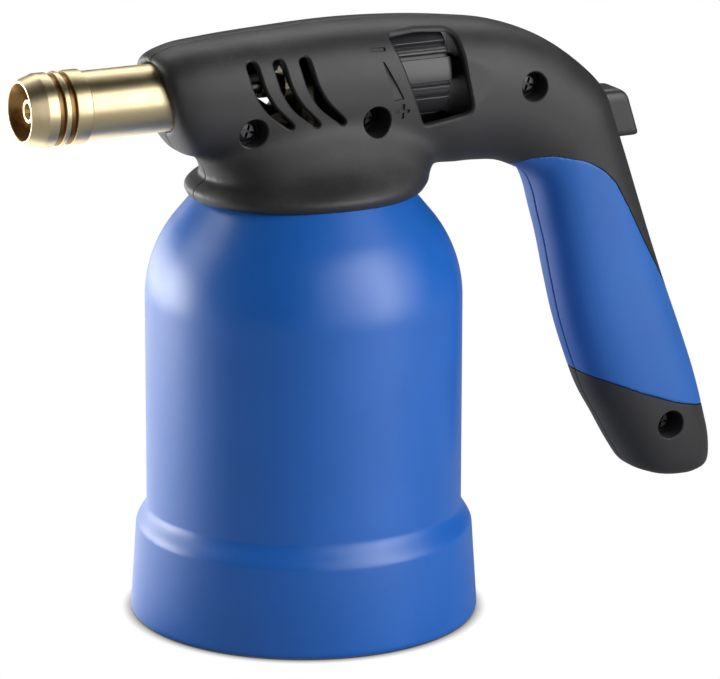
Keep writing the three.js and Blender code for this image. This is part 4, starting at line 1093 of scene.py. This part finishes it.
def make_half(name, side):
    half = copy_of(skin, name)
    carve(half, [make_hollow()])
    carve(half, [make_fittings()], "UNION")
    front, back, radius = KNOB_FRONT - SLIDE, KNOB_BACK + SLIDE, KNOB_RADIUS + SLIDE
    carve(half, [
        make_dome_space(),
        nose_bore(),
        rod_along("knob_space", radius, front, back, AXIS, NOSE_TURN),
        make_button_bar("button_slot", SLIDE),
        carve(grip_region("recess", GAP / 2), [make_trunk("recess_floor", GRIP + GAP)]),
    ])
    carve(half, opening_cutters(side))
    for place, _ in SCREWS:
        radius = SCREW_SHANK + GAP
        carve(half, [rod_across("shank", radius, place, -WIDTH, SHANK_END, SHANK_TURN)])
    return keep_side(half, side)


def draw_in_seam(half):
    """Draws the outer points beside the parting line inwards, towards the skin's inside."""
    moved = 0
    for vertex in half.data.vertices:
        if abs(vertex.co.y) > (PARTING + SEAM_BAND) * MM:
            continue
        _, normal, _, gap = skin_tree.find_nearest(vertex.co)
        if gap < SEAM_NEAR * MM:
            vertex.co -= Vector((normal.x, 0, normal.z)) * SEAM_SINK * MM
            moved += 1
    return moved


for name, side in SIDES:
    shell = make_half(f"{name}_shell", side)
    print(name, "seam points drawn in:", draw_in_seam(shell))
    hand_over(shell, "head", black_plastic, [f"{name}_housing"])

# %% [markdown]
# ## Soft grips
#
# The grips are moulded of a softer blue rubber and sit flush in the handle. They are cut
# from the same skin, so they follow the handle exactly. A fine voxel pass and a little
# relaxing then round their rims, which leaves a shallow groove against the black shell.

# %% Grips cut from the skin
GRIP_VOXEL, GRIP_PASSES = 0.4, 2


def make_grip(name, side):
    grip = carve(copy_of(skin, name), [grip_region("grip_region")], "INTERSECT")
    carve(grip, [make_trunk("grip_floor", GRIP)])
    voxel_skin(keep_side(grip, side), GRIP_VOXEL)
    relax(grip, GRIP_PASSES)
    return grip


for name, side in SIDES:
    grip = make_grip(f"{name}_grip_pad", side)
    hand_over(grip, "head", blue_rubber, [f"{name}_grip"])

bpy.data.objects.remove(skin)

# %% [markdown]
# ## The knob
#
# The drum has seven broad lobes, and between each two a wide bar with a fine line along it,
# so that a wet thumb can turn it. One period is modelled as a strip, and Geometry Nodes
# place it seven times round the shaft. A real one could be moulded in one go, like this one.

# %% Placing copies with Geometry Nodes
def socket_id(tree, label):
    return next(item.identifier for item in tree.interface.items_tree if item.name == label)


def repeat_group(name, settings):
    """Starts a group that places copies of a source object and gives them a material."""
    tree = bpy.data.node_groups.new(name, "GeometryNodeTree")
    tree.interface.new_socket("Geometry", in_out="OUTPUT", socket_type="NodeSocketGeometry")
    shared = [("Source", "NodeSocketObject"), ("Material", "NodeSocketMaterial")]
    for label, kind in shared + settings:
        tree.interface.new_socket(label, in_out="INPUT", socket_type=kind)
    start, end = tree.nodes.new("NodeGroupInput"), tree.nodes.new("NodeGroupOutput")
    return tree, start.outputs, end.inputs


def finish_group(tree, given, out, points, rotation):
    """Puts turned copies at the points, and ends in real geometry with the material."""
    source = node(tree, "GeometryNodeObjectInfo", Object=given["Source"]).outputs["Geometry"]
    placing = {"Points": points, "Instance": source, "Rotation": rotation}
    copies = node(tree, "GeometryNodeInstanceOnPoints", **placing).outputs[0]
    real = node(tree, "GeometryNodeRealizeInstances", Geometry=copies).outputs[0]
    dressed = node(tree, "GeometryNodeSetMaterial", Geometry=real, Material=given["Material"])
    return give(tree, out, dressed.outputs[0])


def make_ring_group():
    """Copies on a circle round a line along X or Z. Each copy is turned with its place."""
    settings = [
        ("Count", "NodeSocketInt"), ("Centre", VECTOR), ("Reach", FLOAT), ("Start", FLOAT),
        ("Along X", "NodeSocketBool"),
    ]
    tree, given, out = repeat_group("copies_in_a_ring", settings)

    def choose(flat, raised):
        """A vector for copies round Z or, if the switch is on, for copies round X."""
        pair = [node(tree, "ShaderNodeCombineXYZ", **way).outputs[0] for way in (flat, raised)]
        inputs = {"i0": given["Along X"], "i1": pair[0], "i2": pair[1]}
        return node(tree, "GeometryNodeSwitch", {"input_type": "VECTOR"}, **inputs).outputs[0]

    index = node(tree, "GeometryNodeInputIndex").outputs[0]
    step = math_node(tree, "DIVIDE", math.tau, given["Count"])
    angle = plus(tree, times(tree, index, step), given["Start"])
    across = times(tree, math_node(tree, "COSINE", angle), given["Reach"])
    upward = times(tree, math_node(tree, "SINE", angle), given["Reach"])
    place = choose({"X": across, "Y": upward}, {"Y": across, "Z": upward})
    turn = choose({"Z": angle}, {"X": angle})
    centred = vector_node(tree, "ADD", place, given["Centre"])[0]
    points = node(tree, "GeometryNodePoints", Count=given["Count"], Position=centred).outputs[0]
    return finish_group(tree, given, out, points, turn)


ring_group = make_ring_group()


def run_group(name, tree, source, material, **values):
    """A new object from a node group's result. The source is thrown away."""
    holder = bpy.data.objects.new(name, bpy.data.meshes.new(name))
    bpy.context.scene.collection.objects.link(holder)
    step = holder.modifiers.new("nodes", "NODES")
    step.node_group = tree
    for label, value in {"Source": source, "Material": material, **values}.items():
        step[socket_id(tree, label.replace("_", " "))] = value
    bake(holder)
    tidy_mesh(holder.data)
    bpy.data.objects.remove(source)
    return holder


def ring_of(name, source, material, count, centre, reach=0.0, start=0.0, along_x=True):
    """Copies of a source round an axis. Lengths are given in millimetres."""
    centre, reach = tuple(value * MM for value in centre), reach * MM
    values = {"Count": count, "Centre": centre, "Reach": reach, "Start": start}
    return run_group(name, ring_group, source, material, Along_X=along_x, **values)


print("copies:", ring_group.name)

# %% One period of the drum, then seven of them
KNOB_GROOVE = 1.5
LOBES, STRIP_STEPS = 7, 160
# Share of a period, then how full the drum is there: a broad lobe, then a bar with a fine line
LOBE_SHARES = [
    [0, 1], [0.28, 1], [0.515, 1], [0.53, 0.96], [0.54, 0.8], [0.5475, 0], [0.6425, 0],
    [0.65, 0.72], [0.66, 0.86], [0.7, 0.9], [0.735, 0.88], [0.7425, 0.78], [0.75, 0.88],
    [0.785, 0.9], [0.825, 0.86], [0.835, 0.72], [0.8425, 0], [0.9375, 0], [0.945, 0.8],
    [0.955, 0.96], [0.97, 1], [1, 1],
]
# Distance from the front, radius, and how strongly the lobes show: bore, face, drum, stub
DRUM_ROWS = [
    [11.0, 0.0, 0], [11.0, 3.2, 0], [0.2, 3.2, 0], [0.0, 3.4, 0], [0.0, 11.2, 0.3],
    [0.15, 12.6, 0.8], [0.6, 13.5, 1], [1.3, 13.9, 1], [2.4, 14.0, 1], [9.5, 14.0, 1],
    [17.3, 14.0, 1], [18.1, 13.88, 1], [18.6, 13.6, 1], [18.9, 13.1, 1], [19.0, 12.5, 0.8],
    [19.0, 11.0, 0.3], [19.0, 4.0, 0], [25.7, 4.0, 0], [26.0, 3.7, 0], [26.0, 0.0, 0],
]
KNOB_REST, SMOOTH_ANGLE = math.radians(2.4), math.radians(50)


def make_drum_strip():
    """One seventh of the knob's skin, from the bottom of its bore to the end of its stub."""
    size = STRIP_STEPS + 1
    fills = np.interp(np.linspace(0, 1, size), *np.array(LOBE_SHARES).T)
    angles = math.tau / LOBES * np.arange(size) / STRIP_STEPS
    points = []
    for along, radius, lobing in DRUM_ROWS:
        reaches = radius - (1 - fills) * lobing * KNOB_GROOVE
        points += [(along, r * math.cos(a), r * math.sin(a)) for r, a in zip(reaches, angles)]
    faces = [
        (i * size + k, i * size + k + 1, (i + 1) * size + k + 1, (i + 1) * size + k)
        for i in range(len(DRUM_ROWS) - 1) for k in range(STRIP_STEPS)
    ]
    return mesh_object("drum_strip", points, faces)


place = (KNOB_FRONT, 0, AXIS)
knob = ring_of("knob_drum", make_drum_strip(), knob_plastic, LOBES, place, start=KNOB_REST)
hand_over(knob, "knob", knob_plastic, ["control_knob"], SMOOTH_ANGLE)

# %% [markdown]
# ## The button
#
# Pressing the button fires the igniter. It is a plain moulded wedge whose slanted face
# follows the back of the handle, with two small ears inside that stop it. It is the bar that
# also cut its slot, only without the clearance. Fine voxels and some relaxing take the
# sharpness off its edges, and the ears are joined to it at the end.

# %% Button with round edges
EAR_WIDTH, EAR_THICKNESS, EAR_DROP, EAR_HEIGHT = 1.4, 2.2, 1.5, 10.0
EAR_REACH, EAR_LEAN = 2.7, 3.8
BUTTON_VOXEL, BUTTON_PASSES = 0.3, 24


def make_button():
    button = voxel_skin(make_button_bar("firing_button"), BUTTON_VOXEL)
    relax(button, BUTTON_PASSES)
    low, near = BUTTON_HEIGHT - BUTTON_HALF_HEIGHT - EAR_DROP, BUTTON_FRONT + EAR_REACH
    high, far = low + EAR_HEIGHT, near + EAR_LEAN
    ears = [(near, high), (far, low), (far + EAR_THICKNESS, low), (near + EAR_THICKNESS, high)]
    reach = BUTTON_HALF + EAR_WIDTH
    return carve(button, [prism("ears", ears, -reach, reach)], "UNION")


button = make_button()
hand_over(button, "button", button_plastic, ["ignition_button"], SMOOTH_ANGLE)

# %% [markdown]
# ## The brass burner
#
# The head is turned from bar: a tapered rim, two grooves with a ridge between them, and
# a collar that meets the tube. The floors of the grooves are coloured darker, which is
# painted shade. Its bowl narrows to a throat round the flame core, and the brass inside has
# been heated, so it is darker. Fillets of two tenths of a millimetre give every edge the
# thin bright line that turned brass has.

# %% Head, tube and core
HEAD = [
    (8.7, -90.3, 0.2), (9.15, -90.3, 0.3), (10.8, -85.3, 0.35), (10.8, -82.1, 0.3),
    (9.8, -81.7, 0.2), (9.8, -80.4, 0.2), (10.8, -80.0, 0.3), (10.8, -78.6, 0.3),
    (9.8, -78.2, 0.2), (9.8, -76.9, 0.2), (10.8, -76.5, 0.3), (10.8, -71.8, 0.35),
    (8.7, -71.8, 0), (8.7, -64.2, 0.2),
    # From here on the inside
    (7.7, -64.2, 0.2), (7.7, -80.9, 0.2), (5.8, -80.9, 0.2), (5.8, -83.9, 0.4),
    (6.5, -85.6, 1.5), (8.3, -90.0, 0.2),
]
CORE = [
    (2.3, -87.8, 0.3), (3.5, -87.8, 0.4), (3.5, -80.6, 0.4), (7.4, -80.6, 0.3),
    (7.4, -78.1, 0.3), (3.4, -78.1, 0.3), (3.4, -72.1, 0.2), (2.3, -72.1, 0.2),
]
TUBE = [(9, -71.5, 0.2), (10, -71.5, 0.2), (10, -30, 0.3), (9, -30, 0.2)]
CORE_CIRCLE, CORE_PORTS, CORE_PORT = 5.6, 6, 0.9
CORE_TURN, PORT_TURN = 96, 24
PORT_FRONT, PORT_BACK = -81.0, -77.5
BOWL_RADIUS, GROOVE_RADIUS = 8.45, 10.3
GROOVES_FRONT, GROOVES_BACK = -82.2, -76.4


def tint_and_shade_head(head):
    """Gives the bowl the heated finish, and the floors of the two grooves a darker brass that
    paints their shade.
    """
    head.data.materials.clear()
    for material in (brass, heated_brass, groove_shade_brass):
        head.data.materials.append(material)
    for face in head.data.polygons:
        x, y, z = (value / MM for value in face.center)
        radius = math.hypot(y, z - AXIS)
        in_groove = GROOVES_FRONT < x < GROOVES_BACK and BOWL_RADIUS < radius < GROOVE_RADIUS
        face.material_index = 1 if radius < BOWL_RADIUS else 2 * in_groove


def make_core():
    core = turned_along("flame_core_piece", CORE, AXIS, CORE_TURN)
    port = rod_along("port", CORE_PORT, PORT_FRONT, PORT_BACK, 0.0, PORT_TURN)
    ports = ring_of("ports", port, heated_brass, CORE_PORTS, (0, 0, AXIS), CORE_CIRCLE)
    return carve(core, [ports])


head = turned_along("burner_head_piece", HEAD, AXIS)
hand_over(head, "head", None, ["burner_head"])
tint_and_shade_head(head)
tube = turned_along("burner_tube_piece", TUBE, AXIS)
hand_over(tube, "head", brass, ["burner_tube"])
hand_over(make_core(), "head", brass, ["flame_core"])

# %% [markdown]
# ## Screws
#
# Four equal screws hold the halves together. One is turned and cut with a Phillips recess,
# and Geometry Nodes put a copy at each of four points. They all sit at the bottom of the
# deep round holes on the left side.

# %% Screws from four points
SCREW_HEAD_HEIGHT, SCREW_REACH = 2.2, 9.0
SCREW_TURN, SCREW_ANGLE = 48, math.radians(30)
# The head's crown: how far in its flat ends, and how far below the top its two corners lie
CROWN_INSET, CROWN_FALL, CROWN_EDGE = 1.2, 0.08, 0.75
CROSS_REACH, CROSS_WIDTH, CROSS_DEPTH, CROSS_TURN = 2.0, 0.8, 1.3, math.radians(20)


def make_place_group():
    tree, given, out = repeat_group("copies_at_points", [("Places", "NodeSocketObject")])
    places = node(tree, "GeometryNodeObjectInfo", Object=given["Places"]).outputs["Geometry"]
    points = node(tree, "GeometryNodeMeshToPoints", Mesh=places).outputs[0]
    return finish_group(tree, given, out, points, (0.0, 0.0, 0.0))


def make_screw():
    """One screw along Y, with the underside of its head at the origin."""
    top = -SCREW_HEAD_HEIGHT
    profile = [
        (0, top, 0), (SCREW_HEAD - CROWN_INSET, top + CROWN_FALL, 0.6),
        (SCREW_HEAD, top + CROWN_EDGE, 0.5), (SCREW_HEAD, 0, 0.2),
        (SCREW_SHANK, 0, 0), (SCREW_SHANK, SCREW_REACH, 0.4), (0, SCREW_REACH, 0),
    ]
    screw = turned("screw", profile, SCREW_TURN, lambda across, up, along: (across, along, up))
    floor, wide = top + CROSS_DEPTH, CROSS_WIDTH / 2
    cross = block("cross", (-CROSS_REACH, top - 1, -wide), (CROSS_REACH, floor, wide))
    bar = block("bar", (-wide, top - 1, -CROSS_REACH), (wide, floor, CROSS_REACH))
    carve(screw, [carve(cross, [bar], "UNION")])
    screw.data.transform(Matrix.Rotation(CROSS_TURN, 4, "Y"))
    return screw


seats = mesh_object("seats", [(place[0], -seat - GAP, place[1]) for place, seat in SCREWS], [])
screws = run_group("housing_screws", make_place_group(), make_screw(), dark_steel, Places=seats)
bpy.data.objects.remove(seats)
names = [f"housing_screw_{k}" for k in (1, 2, 3, 4)]
hand_over(screws, "head", dark_steel, names, SCREW_ANGLE)

# %% [markdown]
# ## The foot
#
# The foot closes the holder from below and carries the canister on ribs. It turns a few
# degrees, so that its three lugs slide over the holder's tabs. It is turned as a cup, then
# ribs and lugs are repeated by Geometry Nodes, and two pockets leave a bar to grip.

# %% Cup, ribs, lugs and pockets
FOOT_RADIUS, FOOT_FLOOR, FOOT_TURN = 50.05, 2.4, 160
RIM_INNER, RIM_OUTER, RIM_TOP, SEAT_TOP = 45.35, 46.65, 20.0, 16.0
HUB_BASE, RIB_BASE, RIB_HALF = 0.5, 1.0, 0.8
POCKET_RADIUS, POCKET_DEPTH, POCKET_FLARE, TWIST_BAR = 24.0, 7.0, 0.6, 9.0
LUG_BASE, LUG_TOP, LUG_REACH, LUG_HALF, LUG_SHORT = 11.8, 14.4, 49.8, 5.9, 0.4
FOOT_RIBS, FOOT_LUGS = 6, 3
# How far ribs and lugs reach into the rim's wall, and how far the bar runs past the pockets
SINK, OVER = 0.6, 3.0
BEVEL, BEVEL_STEPS, BEVEL_ANGLE = 0.3, 2, math.radians(30)


def round_edges(piece):
    step = piece.modifiers.new("edges", "BEVEL")
    step.width, step.segments, step.angle_limit = BEVEL * MM, BEVEL_STEPS, BEVEL_ANGLE
    return bake(piece)


def foot_ring(name, source, count, start=0.0):
    return ring_of(name, source, black_plastic, count, (0, 0, 0), start=start, along_x=False)


def make_foot():
    foot = turned_up("twist_foot", [
        (0, 0, 0), (FOOT_RADIUS, 0, 0.8), (FOOT_RADIUS, FOOT_FLOOR, 0.4),
        (RIM_OUTER, FOOT_FLOOR, 0.3), (RIM_OUTER, RIM_TOP, 0.4), (RIM_INNER, RIM_TOP, 0.4),
        (RIM_INNER, FOOT_FLOOR, 0.3), (0, FOOT_FLOOR, 0),
    ], FOOT_TURN)
    radius, top = POCKET_RADIUS + FOOT_FLOOR, POCKET_DEPTH + FOOT_FLOOR
    hub = [(0, HUB_BASE, 0), (radius, HUB_BASE, 0), (radius, top, 0.5), (0, top, 0)]
    root = RIM_INNER + SINK
    rib = block("rib", (POCKET_RADIUS, -RIB_HALF, RIB_BASE), (root, RIB_HALF, SEAT_TOP))
    lug = block("lug", (root, -LUG_HALF, LUG_BASE), (LUG_REACH - LUG_SHORT, LUG_HALF, LUG_TOP))
    carve(foot, [
        turned_up("hub", hub, FOOT_TURN), foot_ring("ribs", rib, FOOT_RIBS, math.pi / FOOT_RIBS),
        foot_ring("lugs", round_edges(lug), FOOT_LUGS),
    ], "UNION")
    pockets = turned_up("pockets", [
        (0, -1, 0), (POCKET_RADIUS + POCKET_FLARE, -1, 0), (POCKET_RADIUS, POCKET_FLARE, 0.6),
        (POCKET_RADIUS, POCKET_DEPTH, 0.8), (0, POCKET_DEPTH, 0),
    ], FOOT_TURN)
    half, reach = TWIST_BAR / 2, POCKET_RADIUS + OVER
    bar = block("bar", (-reach, -half, -OVER), (reach, half, POCKET_DEPTH + OVER))
    return carve(foot, [carve(pockets, [bar])])


hand_over(make_foot(), "foot", black_plastic, ["base_foot"])

# %% [markdown]
# ## Pieces that keep their CAD shape
#
# The canister, the valve and the igniter hide inside and are seen only through small
# openings. Their CAD solids are exact already, so they only get a finish.

# %% Finishes on the CAD solids
FINISHES = {
    steel: [
        "neck_ring", "bayonet_tab_1", "bayonet_tab_2", "bayonet_tab_3", "piercing_needle",
        "electrode_pin", "piezo_plunger", "piezo_spring",
    ],
    can_paint: ["gas_cartridge"],
    black_rubber: ["cartridge_seal", "spindle_ring", "ignition_lead"],
    # The brass pieces inside get the darkened brass, which paints the shade inside the housing.
    painted_shade_brass: [
        "valve_body", "gland_nut", "valve_spindle", "gas_pipe", "gas_jet", "mixer_tube",
        "burner_plug",
    ],
    ceramic: ["electrode_insulator"],
    black_plastic: ["piezo_body"],
}
for material, names in FINISHES.items():
    for name in names:
        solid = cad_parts[name]
        solid.data.materials.clear()
        solid.data.materials.append(material)
print("finished CAD solids:", sum(len(names) for names in FINISHES.values()))

# %% [markdown]
# ## Camera
#
# The photograph was taken from the front left, a little above, with a long lens. The place
# and the lens come from matching measured points of the CAD model to it. Three directions
# are enough to build the camera's matrix: right, up, and back towards the camera.

# %% The photograph's camera
VIEW_TURN, VIEW_RISE = math.radians(26.4), math.radians(15.677)
DISTANCE, LENS, SENSOR = 1500.0, 252.9, 36.0
CLIP_START, CLIP_END = 0.01, 50.0
AIM_RIGHT, AIM_UP = 2.081, 83.49
LOOK_RIGHT, LOOK_DOWN = 0.009737, 0.00055

right = Vector((math.cos(VIEW_TURN), -math.sin(VIEW_TURN), 0))
away = Vector((math.sin(VIEW_TURN), math.cos(VIEW_TURN), 0))
straight_up = Vector((0, 0, 1))
back = straight_up * math.sin(VIEW_RISE) - away * math.cos(VIEW_RISE)
up = away * math.sin(VIEW_RISE) + straight_up * math.cos(VIEW_RISE)


def camera_matrix():
    look = (right * LOOK_RIGHT - up * LOOK_DOWN - back).normalized()
    side = look.cross(up).normalized()
    matrix = Matrix((side, side.cross(look), -look)).transposed().to_4x4()
    matrix.translation = (right * AIM_RIGHT + straight_up * AIM_UP + back * DISTANCE) * MM
    return matrix


camera = bpy.data.objects.new("photo_camera", bpy.data.cameras.new("photo_camera"))
camera.data.lens, camera.data.sensor_width = LENS, SENSOR
camera.data.clip_start, camera.data.clip_end = CLIP_START, CLIP_END
camera.matrix_world = camera_matrix()
bpy.context.scene.collection.objects.link(camera)
bpy.context.scene.camera = camera
bpy.context.scene.view_settings.view_transform = "Standard"
print("camera:", camera.name)

# %% [markdown]
# ## Studio
#
# Soft upright panels shape the torch. Those at the left stand slightly behind it and give the
# paint its pale edge. The row at the right draws the broad band on the holder, the handle
# and the brass. One more, high at the back, runs along the top of the housing, and another
# stands above those at the left. There is hardly any light from all round, because the dark
# stretches between the panels are what makes the brass look like metal. In reflections
# alone the floor has a pale part at the left, as a bright table would give.
#
# To the camera the floor and the world are white, and the floor darkens only where the torch
# comes close to it, which is the soft contact shadow of a white table.

# %% Panels, world and floor
# Light from all round on dull and on glossy surfaces
AMBIENT, GLOSSY_WORLD = 0.12, 0.0
FLOOR_TONE, FLOOR_RADIUS, FLOOR_CORNERS = 0.4, 4000.0, 64
# The floor's pale part in reflections: its turn from the camera, how narrow it is, how bright
PALE_TURN, PALE_EDGE, PALE_FLOOR = math.radians(-118), 0.45, 1.5
CONTACT_REACH, CONTACT_POWER, CONTACT_SAMPLES = 3.2, 1.3, 16
PANEL_AIM = Vector((20, 0, 100))
# Turn, rise, distance, width, height, radiance
PANELS = {
    "left_far_panel": (-140, 0, 0.6, 0.3, 0.22, 2.0),
    "left_rear_panel": (-120, 0, 0.6, 0.3, 0.22, 4.6),
    "left_panel": (-100, 1, 0.6, 0.3, 0.24, 8.0),
    "left_high_panel": (-98, 30, 0.6, 0.3, 0.24, 2.6),
    "front_panel": (20, 18, 1.0, 0.3, 0.9, 0.95),
    "right_front_panel": (40, 18, 0.9, 0.32, 0.95, 2.4),
    "right_panel": (60, 18, 0.9, 0.32, 0.95, 5.4),
    "right_rear_panel": (80, 18, 0.9, 0.32, 0.95, 1.7),
    "top_panel": (180, 50, 0.9, 0.9, 0.4, 2.9),
}


def level_way(turn):
    """A level direction, turned from the camera's own."""
    return right * math.sin(turn) - away * math.cos(turn)


def panel(name, turn, rise, distance, width, height, radiance):
    """A soft panel. Turn and rise are degrees from the camera's own direction."""
    turn, rise = math.radians(turn), math.radians(rise)
    direction = level_way(turn) * math.cos(rise) + straight_up * math.sin(rise)
    light = bpy.data.lights.new(name, "AREA")
    light.shape, light.size, light.size_y = "RECTANGLE", width, height
    light.energy = math.pi * width * height * radiance
    lamp = bpy.data.objects.new(name, light)
    lamp.location = PANEL_AIM * MM + direction * distance
    lamp.rotation_euler = direction.to_track_quat("Z", "Y").to_euler()
    bpy.context.scene.collection.objects.link(lamp)


def mix_values(tree, share, first, second):
    return node(tree, "ShaderNodeMix", Factor=share, i2=first, i3=second).outputs[0]


def make_world():
    """White to the camera, black in reflections, and a low even light on everything."""
    world = bpy.data.worlds.new("studio")
    world.use_nodes = True
    tree = world.node_tree
    shader = tree.nodes["Background"]
    path = node(tree, "ShaderNodeLightPath").outputs
    clear = math_node(tree, "MAXIMUM", path["Is Camera Ray"], path["Is Transmission Ray"])
    lit = mix_values(tree, path["Is Glossy Ray"], AMBIENT, GLOSSY_WORLD)
    tree.links.new(mix_values(tree, clear, lit, 1.0), shader.inputs["Strength"])
    shader.inputs["Color"].default_value = WHITE
    bpy.context.scene.world = world


def emission(tree, strength):
    return node(tree, "ShaderNodeEmission", Color=WHITE, Strength=strength).outputs[0]


def make_floor():
    """A floor that looks white, takes the torch's contact shadow and gives back some light."""
    rim = [(FLOOR_RADIUS * np.cos(a), FLOOR_RADIUS * np.sin(a), 0) for a in circle(FLOOR_CORNERS)]
    floor = mesh_object("studio_floor", rim, [tuple(range(FLOOR_CORNERS))])
    material, tree, shader = start_material("studio_floor")
    tone = (FLOOR_TONE, FLOOR_TONE, FLOOR_TONE, 1.0)
    looks = {"Base Color": tone, "Roughness": 0.9, "Specular IOR Level": 0.0}
    fill_sockets(tree, shader.inputs, looks)
    path = node(tree, "ShaderNodeLightPath").outputs
    place = node(tree, "ShaderNodeTexCoord").outputs["Object"]
    heading = vector_node(tree, "NORMALIZE", place)[0]
    facing = vector_node(tree, "DOT_PRODUCT", heading, level_way(PALE_TURN))["Value"]
    pale = remap(tree, facing, PALE_EDGE, 1.0, 0.0, PALE_FLOOR)
    sheen = emission(tree, times(tree, pale, path["Is Glossy Ray"]))
    body = node(tree, "ShaderNodeAddShader", i0=shader.outputs[0], i1=sheen).outputs[0]
    settings = {"samples": CONTACT_SAMPLES}
    near = node(tree, "ShaderNodeAmbientOcclusion", settings, Distance=CONTACT_REACH * MM)
    glow = emission(tree, math_node(tree, "POWER", near.outputs["AO"], CONTACT_POWER))
    seen = {"i0": path["Is Camera Ray"], "i1": body, "i2": glow}
    mixed = node(tree, "ShaderNodeMixShader", **seen).outputs[0]
    tree.links.new(mixed, tree.nodes["Material Output"].inputs["Surface"])
    floor.data.materials.append(material)
    floor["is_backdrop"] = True


make_world()
make_floor()
for name, values in PANELS.items():
    panel(name, *values)
print("panels:", len(PANELS))

# %% [markdown]
#
# The dressed object must fill the same box as the CAD model. Both boxes are written out, so
# that a difference shows at once.

# %% Last step
visual_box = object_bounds()
boxes = {
    "cad": [list(corner) for corner in cad_box],
    "visual": [list(corner) for corner in visual_box],
}
for name, box in boxes.items():
    print(name, [[round(value, 5) for value in corner] for corner in box])
